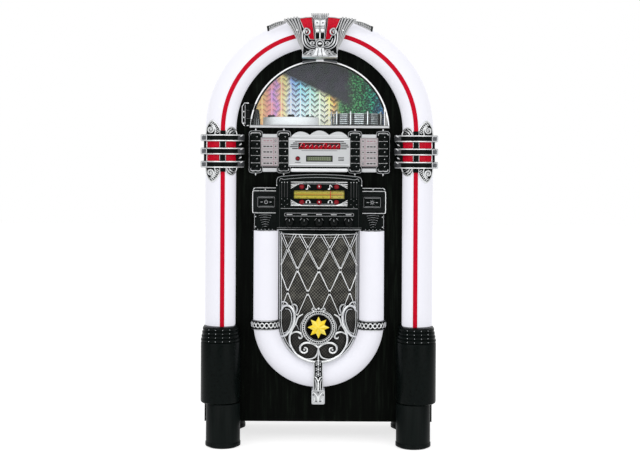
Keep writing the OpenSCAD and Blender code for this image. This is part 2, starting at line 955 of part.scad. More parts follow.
// The needle runs in a pocket behind this plate, in front of the scale.
module dial_plate() {
    floor_y = panel_y - box_t + dial_d;
    plate_t = 7;
    color("#c9cccf") difference() {
        slab(floor_y - plate_t, floor_y) translate([0, dial_z]) plate(dial_w, dial_h);
        slab(floor_y - plate_t - 1, floor_y + 1) translate([0, scale_z]) plate(scale_w, scale_h);
        slab(floor_y - pocket_d, floor_y + 1)
            translate([0, scale_z]) plate(scale_w + 2 * scale_lip, scale_h + 2 * scale_lip);
    }
}

module dial_scale() {
    floor_y = panel_y - box_t + dial_d;
    color("#d8c02c") slab(floor_y - scale_t, floor_y) translate([0, scale_z])
        plate(scale_w + 2 * scale_lip - slip, scale_h + 2 * scale_lip - slip);
}

module needle() {
    back = panel_y - box_t + dial_d - scale_t - rest_gap;
    color("#d02418") slab(back - needle_t, back) translate([needle_x, scale_z])
        plate(needle_w, scale_h + 2 * scale_lip - slip);
}

module knob(i) {
    back = panel_y - box_t - knob_gap;
    skirt = 4;
    color("#0f1011") difference() {
        union() {
            rod(knob_x(i), knob_z, shaft_d / 2, back - 1, panel_y - 4);
            rod(knob_x(i), knob_z, knob_d / 2, back - skirt, back);
            translate([knob_x(i), back - skirt, knob_z]) rotate([90, 0, 0])
                cylinder(h = knob_l - skirt, r1 = knob_d / 2 - 1.5, r2 = knob_d / 2 - 3);
        }
        translate([knob_x(i) - 0.7, back - knob_l - 1, knob_z + 2]) cube([1.4, 2, knob_d]);
    }
}

module push_button(side) {
    tip = panel_y - wing_t - button_proud;
    color("#141618") slab(tip, panel_y - button_travel - 1)
        translate([side * button_x, button_z]) round_plate(button_w, button_h, 2);
}

module power_button() {
    push_button(-1);
}

module light_button() {
    push_button(1);
}

// Bow lamp and grille

module bow_lamp() {
    color("#f4f4f8") {
        turned(bow_mid, bow_z, 180, 360) bow_cover_section();
        both_sides() upright(bow_mid, bow_z, bow_top) bow_cover_section();
    }
}

module bow_trim() {
    strap_y = panel_y - bulge_h - rest_gap;
    color("#b9bcbf") {
        // Bands round the two arms, which stop short of the grille's rim
        both_sides() upright(bow_mid, band_z, band_z + band_h) difference() {
            bow_section(band_grow, 0);
            bow_section(band_gap, -1);
            translate([-bow_mid, -1]) square([bow_mid - bow_w / 2 + 2, bow_h * 2]);
        }
        // Foot on the panel below the lamp
        slab(strap_y - strap_t - 2, panel_y) translate([-clasp_foot_w / 2, bow_z - bow_r - clasp_foot_h])
            square([clasp_foot_w, clasp_foot_h - rest_gap]);
        // Strap over the lamp
        slab(strap_y - strap_t, strap_y) translate([-clasp_w / 2, bow_z - bow_r - 6])
            square([clasp_w, clasp_top - (bow_z - bow_r - 6)]);
    }
}

// Lattice crossings: column k in half steps, row n from the top.
function crossing(k, n) = [grille_r * sin(lattice_theta * k),
    lattice_row0 - row_pitch * (pow(row_growth, n) - 1) / (row_growth - 1)];

module lattice_bar(a, b) {
    run = norm(b - a) - 2 * boss_trim;
    translate(a) rotate(atan2(b[1] - a[1], b[0] - a[0]))
        translate([boss_trim, -bar_w / 2]) square([run, bar_w]);
}

function row_column(n, i) = n % 2 == 0 ? i - 2 : i - 1.5;

module lattice_outline() {
    for (n = [0 : lattice_rows - 1], i = [0 : 4], step = [-0.5, 0.5]) {
        k = row_column(n, i);
        if (abs(k) <= 2 && abs(k + step) <= 2)
            lattice_bar(crossing(k, n), crossing(k + step, n + 1));
    }
    for (n = [1 : lattice_rows], i = [0 : 4])
        if (abs(row_column(n, i)) <= 2)
            translate(crossing(row_column(n, i), n)) circle(boss_r, $fn = 32);
}

module ring_outline(x, z, r, w) {
    translate([x, z]) difference() {
        circle(r);
        circle(r - w);
    }
}

module scroll_outline() {
    scroll_w = 5;
    for (s = [-1, 1]) {
        ring_outline(s * 74, bow_z + 8, 22, scroll_w);
        ring_outline(s * 58, bow_z - 40, 24, scroll_w);
        ring_outline(s * 24, bow_z - 65, 20, scroll_w);
    }
}

module bulge(r) {
    translate([0, bulge_y, 0]) cylinder(h = arch_z, r = r, $fn = 360);
}

module grille_lattice() {
    deep = 3 * medal_out;
    color("#b4b7ba") {
        intersection() {
            slab(panel_y - deep, panel_y) difference() {
                bow_outline(rim_out, grille_top);
                bow_outline(rim_in, lattice_top);
            }
            bulge(grille_r);
        }
        intersection() {
            difference() {
                bulge(grille_r);
                bulge(grille_r - lattice_t);
            }
            slab(panel_y - deep, panel_y) intersection() {
                bow_outline(rim_in + 1, lattice_top + 1);
                difference() {
                    lattice_outline();
                    translate([0, medal_z]) circle(medal_in + 1);
                }
            }
        }
        intersection() {
            difference() {
                bulge(grille_r);
                bulge(grille_r - lattice_t);
            }
            slab(panel_y - deep, panel_y) intersection() {
                bow_outline(rim_in + 1, lattice_top + 1);
                difference() {
                    scroll_outline();
                    translate([0, medal_z]) circle(medal_in + 1);
                }
            }
        }
        difference() {
            rod(0, medal_z, medal_out, medal_y, medal_y + 18);
            rod(0, medal_z, medal_in, medal_y - 1, medal_y + 19);
        }
    }
}

module speaker_cloth() {
    cloth_t = 1.6;
    back_r = grille_r - lattice_t - rest_gap;
    color("#4a4845") intersection() {
        difference() {
            bulge(back_r);
            bulge(back_r - cloth_t);
        }
        slab(panel_y - 3 * medal_out, panel_y - rest_gap) difference() {
            bow_outline(rim_in - rest_gap, lattice_top - rest_gap);
            translate([0, medal_z]) circle(medal_out + rest_gap);
        }
    }
}

module badge_disc() {
    color("#0c0c0c") rod(0, medal_z, medal_in - rest_gap, medal_y + 6, medal_y + 6 + badge_t);
}

module star_badge() {
    points = 8;
    inner = 0.58;
    color("#e8c526") slab(medal_y + 6 - star_t, medal_y + 6) translate([0, medal_z])
        polygon([for (i = [0 : 2 * points - 1])
            let (a = 90 + i * 180 / points, r = star_r * (i % 2 == 0 ? 1 : inner))
            [r * cos(a), r * sin(a)]]);
}

// Inside the cabinet

module speaker_drivers() {
    flange_t = 3;
    basket_d = 30;
    magnet_r = 26;
    magnet_t = 14;
    color("#3b3b3b") for (s = [-1, 1])
        translate([s * driver_x, panel_back, driver_z]) rotate([-90, 0, 0]) difference() {
            union() {
                cylinder(h = flange_t, r = driver_r);
                cylinder(h = basket_d, r1 = driver_hole + 2, r2 = magnet_r - 4);
                translate([0, 0, basket_d - eps]) cylinder(h = magnet_t, r = magnet_r);
            }
            translate([0, 0, -eps]) cylinder(h = basket_d - 8, r1 = driver_hole - 1, r2 = 12);
        }
}

module main_board() {
    color("#1f5a33") {
        translate([20, 0, board_z]) cube([board_w, board_d, board_t]);
        for (x = [26, 20 + board_w - 6], y = [6, board_d - 6])
            translate([x, y, base_top]) cylinder(h = board_z - base_top + eps, d = 7);
    }
    color("#9a9a9a") translate([40, 12, board_z + board_t - eps]) cube([90, 12, 32]);
}

module transformer() {
    color("#6a5a48") translate([-110, 20, base_top]) {
        cube([core_w, coil_h, core_h]);
        translate([(core_w - coil_w) / 2, -9, 8]) cube([coil_w, coil_h + 18, coil_h]);
    }
}

module mains_inlet() {
    color("#0e0e0e") {
        difference() {
            slab(back_y - inlet_d, back_y) translate([inlet_x, inlet_z]) plate(inlet_w, inlet_h);
            slab(back_y - inlet_recess, back_y + 1) translate([inlet_x, inlet_z])
                plate(inlet_w - 2 * inlet_wall, inlet_h - 2 * inlet_wall);
        }
        for (s = [-1, 1])
            rod(inlet_x + s * 5, inlet_z, inlet_pin_d / 2, back_y - inlet_recess - 1,
                back_y - inlet_recess + inlet_pin_l);
    }
}

cabinet_shell();
front_panel();
back_panel();
base_board();
deck_shelf();
foil_backdrop();
lamp_covers();
red_stripes();
side_clamps();
red_lenses();
crest();
pedestals();
legs();
foot_pads();
door_hinge();
door_frame();
door_pane();
disc_deck();
spindle();
changer_arm();
disc_stack();
key_frames();
dummy_keys();
title_cards();
player_fascia();
name_plate();
lcd_glass();
radio_fascia();
dial_plate();
dial_scale();
needle();
power_button();
light_button();
bow_lamp();
bow_trim();
grille_lattice();
speaker_cloth();
badge_disc();
star_badge();
speaker_drivers();
main_board();
transformer();
led_strips();
mains_inlet();
back_screws();
key(0);  // mode_key
key(1);  // timer_key
key(2);  // play_key
key(3);  // stop_key
key(4);  // program_key
key(5);  // next_key
key(6);  // back_key
key(7);  // track_up_key
key(8);  // track_down_key
key(9);  // repeat_key
knob(0);  // volume_knob
knob(1);  // tuning_knob
knob(2);  // bass_knob
knob(3);  // treble_knob
knob(4);  // function_knob
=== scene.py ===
import math
from functools import partial

import bmesh
import bpy
from bpy.props import FloatProperty, FloatVectorProperty, IntProperty, PointerProperty
from mathutils import Matrix, Vector


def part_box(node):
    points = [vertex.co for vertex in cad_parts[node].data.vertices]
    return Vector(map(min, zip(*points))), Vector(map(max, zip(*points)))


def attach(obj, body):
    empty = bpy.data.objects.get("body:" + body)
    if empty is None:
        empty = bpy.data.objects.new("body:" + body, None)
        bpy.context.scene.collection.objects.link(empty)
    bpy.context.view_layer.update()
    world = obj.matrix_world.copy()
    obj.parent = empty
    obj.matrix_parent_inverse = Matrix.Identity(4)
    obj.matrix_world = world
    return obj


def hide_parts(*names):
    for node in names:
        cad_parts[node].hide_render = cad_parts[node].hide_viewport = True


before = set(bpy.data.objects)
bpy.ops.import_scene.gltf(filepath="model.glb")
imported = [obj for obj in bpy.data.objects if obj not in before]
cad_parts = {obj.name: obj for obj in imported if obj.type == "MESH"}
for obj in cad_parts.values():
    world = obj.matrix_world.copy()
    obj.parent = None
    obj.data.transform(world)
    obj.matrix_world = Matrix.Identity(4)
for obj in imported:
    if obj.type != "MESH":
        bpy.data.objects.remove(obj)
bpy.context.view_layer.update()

bl_info = {
    "name": "Disc Jukebox",
    "version": (1, 0, 0),
    "blender": (4, 5, 0),
    "location": "View3D > Sidebar > Jukebox",
    "description": "Models the looks of a floor-standing disc jukebox on its packed frame",
    "category": "Object",
}

MM = 0.001
WELD = 0.002  # points closer than this are one, in millimetres


def corners(node):
    """A node's lowest and highest corners, in millimetres."""
    return [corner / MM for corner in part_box(node)]


def middle(node):
    """The middle of a node's box, in millimetres."""
    low, high = corners(node)
    return (low + high) / 2


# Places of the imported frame, in millimetres
PANEL = corners("front_panel")[0].y  # face of the front panel
ARCH_Z = 769.0  # middle of the arch
RIDGE = 234.0  # lamp ridge from the middle
LAMP_IN, LAMP_OUT, LAMP_H = 29.0, 46.0, 52.0  # lamp section about its ridge
BAR_HALF, BAR_PITCH = 8.2, 32.2  # clamp bars
CLAMP_Z = middle("side_clamps").z
PEDESTAL_R = 47.5
PEDESTAL_X = corners("pedestals")[1].x - PEDESTAL_R
PEDESTAL_Y = corners("pedestals")[0].y + PEDESTAL_R
PEDESTAL_TOP = corners("pedestals")[1].z
LEG_R, FLANGE_R = 41.5, 42.75
LEG_X = corners("legs")[1].x - FLANGE_R
LEG_FRONT, LEG_REAR = corners("legs")[0].y + FLANGE_R, corners("legs")[1].y - FLANGE_R
BOW_Z, BOW_MID, BOW_HALF, BOW_H = 299.0, 130.0, 30.0, 42.0
BOW_TOP = corners("bow_lamp")[1].z
BULGE_R, BULGE_Y = 140.0, 24.0  # grille bulge
KEY_ROWS = [751.0, 733.0, 715.0, 697.0, 679.0]
COLUMNS = [-156.5, -87.5, 87.5, 156.5]
KEYS_Z = 715.0
FRAME_Y = -77.0  # front of the key frames, where the cards and the fascia start
FACE_Y = -83.0  # front of the player fascia
EYE = (-53, 699)  # remote eye
RADIO_Y = -97.0  # front of the radio
BUTTON_X, BUTTON_Z = 129.75, 592.4
KNOB_X = [-72.0, -36.0, 0.0, 36.0, 72.0]
KNOB_Z = middle("volume_knob").z
MEDAL_Z = 290.0


def linear(code):
    """An sRGB hex value such as "#D70E2A" as linear red, green and blue."""
    parts = [int(code[i:i + 2], 16) / 255 for i in (1, 3, 5)]
    return [p / 12.92 if p <= 0.04045 else ((p + 0.055) / 1.055) ** 2.4 for p in parts]


def length(name, description, default, least):
    """A size that can be changed, in metres."""
    return FloatProperty(name=name, description=description, default=default, min=least, unit="LENGTH")


def tone(name, description, code):
    """A colour that can be changed, given as an sRGB hex value."""
    return FloatVectorProperty(name=name, description=description, default=linear(code), size=3,
                               min=0, max=1, subtype="COLOR")


class JukeboxSizes(bpy.types.PropertyGroup):
    """Sizes of the ornaments, in metres"""
    cover_wall: length("Cover wall", "Wall of the white lamp covers", 0.003, 0.001)
    stripe_width: length("Stripe width", "Width of the red stripe", 0.0106, 0.004)
    outline_radius: length("Outline wire", "Radius of the bright outlines", 0.0009, 0.0003)
    lattice_radius: length("Lattice wire", "Radius of a lattice wire", 0.0007, 0.0003)
    lattice_gap: length("Lattice gap", "Spacing of paired wires at the head", 0.0052, 0.001)
    stud_radius: length("Stud radius", "Radius of the small bright studs", 0.0016, 0.0005)
    thread_pitch: length("Thread pitch", "Spacing of the cloth's threads", 0.004, 0.0005)
    bead_count: IntProperty(name="Ring beads", description="Beads round the badge", default=44,
                            min=12, max=90, subtype="UNSIGNED")


class JukeboxColours(bpy.types.PropertyGroup):
    """Colours of the finishes, linear"""
    cabinet: tone("Cabinet", "Black film on the cabinet", "#060906")
    lamp: tone("Lamp covers", "White lamp covers", "#B0B0B6")
    stripe: tone("Stripe", "Red stripes and lenses", "#BB0422")
    chrome: tone("Chrome", "Bright plated ornaments", "#B9BBBD")
    gloss: tone("Gloss black", "Gloss black mouldings", "#080D0C")
    silver: tone("Silver", "Silver painted fascia", "#C0C2C4")
    dial: tone("Dial", "Yellow tuning scale", "#B2A628")
    star: tone("Star", "Yellow star on the badge", "#F2D22A")
    cloth: tone("Cloth", "Speaker cloth", "#35342F")


# Materials

def join(node, inputs):
    """Set a node's inputs to values, or link them to sockets or to other nodes' first outputs."""
    for name, value in inputs.items():
        if isinstance(value, bpy.types.Node):
            value = next(socket for socket in value.outputs if socket.enabled)
        if isinstance(value, bpy.types.NodeSocket):
            node.id_data.links.new(value, node.inputs[name])
        else:
            node.inputs[name].default_value = value


def new_node(tree, kind, inputs=None, stops=(), **settings):
    """Add a node with its settings, its values or links, and a colour ramp's stops."""
    made = tree.nodes.new("ShaderNode" + kind)
    for name, value in settings.items():
        setattr(made, name, value)
    join(made, inputs or {})
    for i, (at, colour) in enumerate(stops):
        ramp = made.color_ramp.elements
        stop = ramp[i] if i < 2 else ramp.new(at)
        stop.position = at
        stop.color = (*colour, 1)
    return made


def begin(name, rough, metal=0.0, coat=0.0, ior=1.5):
    """A new material, what adds its nodes, its shader and its Object coordinates."""
    made = bpy.data.materials.new(name)
    made.use_nodes = True
    add = partial(new_node, made.node_tree)
    shader = made.node_tree.nodes["Principled BSDF"]
    join(shader, {"Roughness": rough, "Metallic": metal, "Coat Weight": coat, "IOR": ior})
    return made, add, shader, add("TexCoord").outputs["Object"]


def shade(colour, share):
    """A colour made darker or lighter by a share."""
    return [min(1.0, c * share) for c in colour]


def grained(name, colour, rough, grain, relief=0, vary=0.2, metal=0, shine=0.5, glow=0, share=1,
            stretch=(1, 1, 1)):
    """A surface whose colour, roughness and relief follow one noise.

    The colour is an sRGB hex value or the name of a colour property, and share darkens it.
    The grain is its size in millimetres, and stretch makes it longer along an axis."""
    made, add, shader, place = begin(name, rough, metal)
    given = linear(colour) if colour[0] == "#" else getattr(bpy.context.scene.jukebox_colours, colour)
    base = shade(given, share)
    scale = tuple(1000 / (grain * s) for s in stretch)
    spread = add("Mapping", {"Vector": place, "Scale": scale})
    noise = add("TexNoise", {"Vector": spread, "Scale": 1.0, "Detail": 4.0})
    tint = add("ValToRGB", {"Fac": noise},
               [(0.3, shade(base, 1 - vary)), (0.7, shade(base, 1 + vary))])
    dull = add("MapRange", {0: noise, 3: max(0.02, rough - 0.06), 4: rough + 0.08})
    join(shader, {"Base Color": tint, "Roughness": dull, "Specular IOR Level": shine,
                  "Emission Color": (*base, 1), "Emission Strength": glow})
    if relief:
        bump = add("Bump", {"Height": noise, "Strength": 0.6, "Distance": relief * MM})
        join(shader, {"Normal": bump})
    return made


def woodgrain(name, colours):
    # Printed black oak film on board: fine upright pores, a soft satin sheen.
    made, add, shader, place = begin(name, 0.5)
    wide = add("Mapping", {"Vector": place, "Scale": (110.0, 110.0, 6.0)})
    pores = add("Mapping", {"Vector": place, "Scale": (420.0, 420.0, 14.0)})
    bands = add("TexNoise", {"Vector": wide, "Scale": 1.0, "Detail": 5.0, "Distortion": 0.6})
    fine = add("TexNoise", {"Vector": pores, "Scale": 1.0, "Detail": 3.0})
    both = add("Math", {0: bands, 1: fine}, operation="MULTIPLY")
    tones = ((0.18, 0.4), (0.28, 0.8), (0.42, 3.4))
    tint = add("ValToRGB", {"Fac": both}, [(at, shade(colours.cabinet, share)) for at, share in tones])
    dull = add("MapRange", {0: both, 1: 0.15, 2: 0.4, 3: 0.58, 4: 0.44})
    bump = add("Bump", {"Height": both, "Strength": 0.5, "Distance": 0.15 * MM})
    join(shader, {"Base Color": tint, "Roughness": dull, "Normal": bump, "Specular IOR Level": 0.03})
    return made


def chrome(name, colours):
    # Chrome plate on moulded ABS, darkened in its hollows as the occlusion node finds them: painted shade.
    made, add, shader, place = begin(name, 0.3, 1.0)
    occlusion = add("AmbientOcclusion", {"Distance": 5 * MM}, samples=6)
    hollow_shade = add("ValToRGB", {"Fac": occlusion.outputs["AO"]},
               [(0.3, linear("#101213")), (0.82, colours.chrome)])
    haze = add("TexNoise", {"Vector": place, "Scale": 260.0, "Detail": 3.0})
    dull = add("MapRange", {0: haze, 3: 0.22, 4: 0.4})
    bump = add("Bump", {"Height": haze, "Strength": 0.35, "Distance": 0.12 * MM})
    join(shader, {"Base Color": hollow_shade, "Roughness": dull, "Normal": bump})
    return made


def clear_sheet(name, colours):
    # Cast acrylic pane: clear, thin, with a polished face and faint cloudy smears.
    made, add, shader, place = begin(name, 0.02, ior=1.49)
    smear = add("TexNoise", {"Vector": place, "Scale": 14.0, "Detail": 4.0})
    dull = add("MapRange", {0: smear, 3: 0.0, 4: 0.05})
    join(shader, {"Roughness": dull, "Transmission Weight": 1.0,
                  "Base Color": (*linear("#F6FAFA"), 1)})
    path = add("LightPath")
    passing = add("BsdfTransparent")
    mixed = add("MixShader", {0: path.outputs["Is Shadow Ray"], 1: shader, 2: passing})
    join(made.node_tree.nodes["Material Output"], {"Surface": mixed})
    return made


def prism_foil(name, colours):
    # Embossed holographic foil on card: upright rows of bright leaves in drifting rainbow colours,
    # a smooth grey patch and a green side with painted glints. Some tones are brighter than white and the
    # foil glows:
    # painted light that brightens the closed chamber.
    made, add, shader, place = begin(name, 0.35)
    column, leaf, sparkle, half = 24.8 * MM, 13.4 * MM, 3.4 * MM, 165
    axes = add("SeparateXYZ", {"Vector": place})
    x, z = axes.outputs[0], axes.outputs[2]
    grain = add("TexNoise", {"Vector": place, "Scale": 42.0, "Detail": 1.5})
    ripple = add("TexNoise", {"Vector": place, "Scale": 190.0, "Detail": 1.0})
    # Leaves: distance from the column's middle bends each vein into a hanging leaf
    share = add("Math", {0: x, 1: column}, operation="DIVIDE")
    part = add("Math", {0: share}, operation="FRACT")
    left = add("Math", {0: part, 1: 0.5}, operation="SUBTRACT")
    off = add("Math", {0: left}, operation="ABSOLUTE")
    droop = add("Math", {0: off, 1: 0.62}, operation="POWER")
    rows = add("Math", {0: z, 1: leaf}, operation="DIVIDE")
    shaken = add("Math", {0: ripple, 1: 0.34, 2: rows}, operation="MULTIPLY_ADD")
    hung = add("Math", {0: droop, 1: -1.15, 2: shaken}, operation="MULTIPLY_ADD")
    vein = add("Math", {0: hung}, operation="FRACT")
    crossed = add("Math", {0: off, 1: 2.3, 2: shaken}, operation="MULTIPLY_ADD")
    doubled = add("Math", {0: crossed, 1: 2.0}, operation="MULTIPLY")
    cross = add("Math", {0: doubled}, operation="FRACT")
    # Rainbow from left to right, in millimetres, shifted a little by the grain
    moved = add("Math", {0: grain, 1: 0.03, 2: x}, operation="MULTIPLY_ADD")
    across = add("MapRange", {0: moved, 1: 0.015 - half * MM, 2: 0.015 + half * MM})
    hues = [(-165, "#FFE48C"), (-146, "#FFCC98"), (-131, "#FFB0AC"), (-114, "#DCA8E8"),
            (-103, "#FFC8A4"), (-90, "#FFF3A8"), (-74, "#A4C0FF"), (-45, "#9CE8FF"), (-16, "#D4FFE8"),
            (12, "#FFFFD0"), (26, "#FFF28C"), (36, "#FFC06A"), (54, "#5AA070"), (110, "#35A070"),
            (140, "#2AB0A6"), (164, "#4AA0FF")]
    sweep = add("ValToRGB", {"Fac": across},
                [((at + half) / (2 * half), linear(code)) for at, code in hues])
    # Below the slanting edge the middle turns nearly white
    height = add("Math", {0: x, 1: 0.461, 2: z}, operation="MULTIPLY_ADD")
    pale = add("MapRange", {0: height, 1: 0.866, 2: 0.812})
    aside = add("Math", {0: x, 1: 0.025}, operation="ADD")
    apart = add("Math", {0: aside}, operation="ABSOLUTE")
    centre = add("MapRange", {0: apart, 1: 0.075, 2: 0.05, 4: 0.6})
    white = add("Math", {0: pale, 1: centre}, operation="MULTIPLY")
    washed = add("Mix", {0: white, 6: sweep, 7: (1, 1, 0.96, 1)}, data_type="RGBA")
    veins = add("ValToRGB", {"Fac": vein},
                [(0.0, linear("#55535A")), (0.16, linear("#77747C")), (0.34, (1.2, 1.2, 1.2)),
                 (0.7, (1, 1, 1)), (1.0, linear("#9A969E"))])
    ribs = add("ValToRGB", {"Fac": cross},
               [(0.0, linear("#706C74")), (0.22, (1.15, 1.15, 1.15)), (1.0, linear("#D8D8DC"))])
    both = add("Mix", {0: 1.0, 6: veins, 7: ribs}, data_type="RGBA", blend_type="MULTIPLY")
    # Flat seams between the columns, and a weaker relief on the left
    seam = add("MapRange", {0: off, 1: 0.4, 2: 0.47})
    deep = add("MapRange", {0: x, 1: -0.1, 2: -0.06, 3: 0.5, 4: 1.0})
    pressed = add("Mix", {0: deep, 6: (1, 1, 1, 1), 7: both}, data_type="RGBA")
    relief = add("Mix", {0: seam, 6: pressed, 7: (1.3, 1.3, 1.3, 1)}, data_type="RGBA")
    # Loose specks on the dark side, brighter than white: painted glints
    specks = add("TexVoronoi", {"Vector": place, "Scale": 1 / sparkle}).outputs["Color"]
    painted_glint = add("ValToRGB", {"Fac": specks},
                [(0.2, (0.12, 0.12, 0.13)), (0.6, (0.3, 0.3, 0.3)), (0.78, (1.7, 1.5, 1.0))])
    side = add("MapRange", {0: x, 1: 0.04, 2: 0.06})
    tones = add("Mix", {0: side, 6: relief, 7: painted_glint}, data_type="RGBA")
    lit = add("Mix", {0: 1.0, 6: washed, 7: tones}, data_type="RGBA", blend_type="MULTIPLY")
    # Smooth grey patch above the slanting edge
    over = add("MapRange", {0: height, 1: 0.863, 2: 0.878})
    edge = add("MapRange", {0: moved, 1: 0.085, 2: 0.105, 3: 1.0, 4: 0.0})
    patch = add("Math", {0: over, 1: edge}, operation="MULTIPLY")
    grey = add("ValToRGB", {"Fac": grain}, [(0.35, linear("#2C3133")), (0.7, linear("#3B3747"))])
    final = add("Mix", {0: patch, 6: lit, 7: grey}, data_type="RGBA")
    bump = add("Bump", {"Height": vein, "Strength": 0.2, "Distance": 0.3 * MM})
    # Painted light: the foil's colour also glows, brightening the closed chamber
    join(shader, {"Base Color": final, "Emission Color": final, "Normal": bump,
                  "Emission Strength": 0.36, "Specular IOR Level": 0.25})
    return made


def grille_weave(name, colours):
    # Plain-woven polyester: light and dark threads over and under, matt with a slight fuzz.
    # Real threads are about 0.7 mm apart, drawn coarser here so that the weave shows.
    made, add, shader, place = begin(name, 0.85)
    turns = math.pi / bpy.context.scene.jukebox_sizes.thread_pitch
    axes = add("SeparateXYZ", {"Vector": add("UVMap", uv_map="Threads")})
    warp = add("Math", {0: axes.outputs[0], 1: turns}, operation="MULTIPLY")
    weft = add("Math", {0: axes.outputs[1], 1: turns}, operation="MULTIPLY")
    wave = add("Math", {0: warp}, operation="SINE")
    counter = add("Math", {0: weft}, operation="SINE")
    over = add("Math", {0: wave, 1: counter}, operation="MULTIPLY")
    blotch = add("TexNoise", {"Vector": place, "Scale": 46.0, "Detail": 4.0})
    patchy = add("MapRange", {0: blotch, 1: 0.3, 2: 0.7, 3: 0.15, 4: 0.9})
    level = add("Math", {0: over, 1: 0.7, 2: patchy}, operation="MULTIPLY_ADD")
    tones = ((0.0, 0.02), (0.45, 0.3), (0.9, 2.8))
    tint = add("ValToRGB", {"Fac": level}, [(at, shade(colours.cloth, share)) for at, share in tones])
    # Painted shade: darker towards the foot, where the scrolls shade it
    foot = add("MapRange", {0: axes.outputs[1], 1: 0.3, 2: 0.36, 3: 0.3, 4: 1.0})
    dim = add("Mix", {0: 1.0, 6: tint, 7: foot}, data_type="RGBA", blend_type="MULTIPLY")
    bump = add("Bump", {"Height": over, "Strength": 0.8, "Distance": 0.6 * MM})
    join(shader, {"Base Color": dim, "Normal": bump, "Sheen Weight": 0.1})
    return made


def banded(name, low, high, pitch, rough, metal=0.0):
    """Fine level bands of two colours at a pitch in millimetres, as on print or a display."""
    made, add, shader, place = begin(name, rough, metal, coat=0.3)
    axes = add("SeparateXYZ", {"Vector": place})
    run = add("Math", {0: axes.outputs[2], 1: math.tau * 1000 / pitch}, operation="MULTIPLY")
    wave = add("Math", {0: run}, operation="SINE")
    grain = add("TexNoise", {"Vector": place, "Scale": 500.0, "Detail": 2.0})
    mixed = add("Math", {0: wave, 1: 0.3, 2: grain}, operation="MULTIPLY_ADD")
    tint = add("ValToRGB", {"Fac": mixed}, [(0.2, low), (0.8, high)])
    join(shader, {"Base Color": tint})
    return made


PATTERNED = {
    "black_oak_film": woodgrain,
    "chrome_plated_abs": chrome,
    "clear_acrylic": clear_sheet,
    "holographic_foil": prism_foil,
    "woven_polyester": grille_weave,
    # Display film: olive, with the faint rows of its electrodes.
    "display_film": lambda n, c: banded(n, linear("#66705A"), linear("#848E72"), 4.4, 0.25),
    # Screen-printed dial: yellow, shaded in level bands.
    "dial_print": lambda n, c: banded(n, shade(c.dial, 0.62), shade(c.dial, 1.15), 9.0, 0.3),
    # Stacked iron sheets: brown-grey edges in fine layers.
    "iron_laminations": lambda n, c: banded(n, linear("#4A4038"), linear("#7A6A55"), 1.0, 0.5, 0.5),
    # Light strip: white, with a warmer lamp every few millimetres.
    "strip_white": lambda n, c: banded(n, linear("#D8D8D4"), linear("#F6F4E6"), 16.0, 0.4),
}

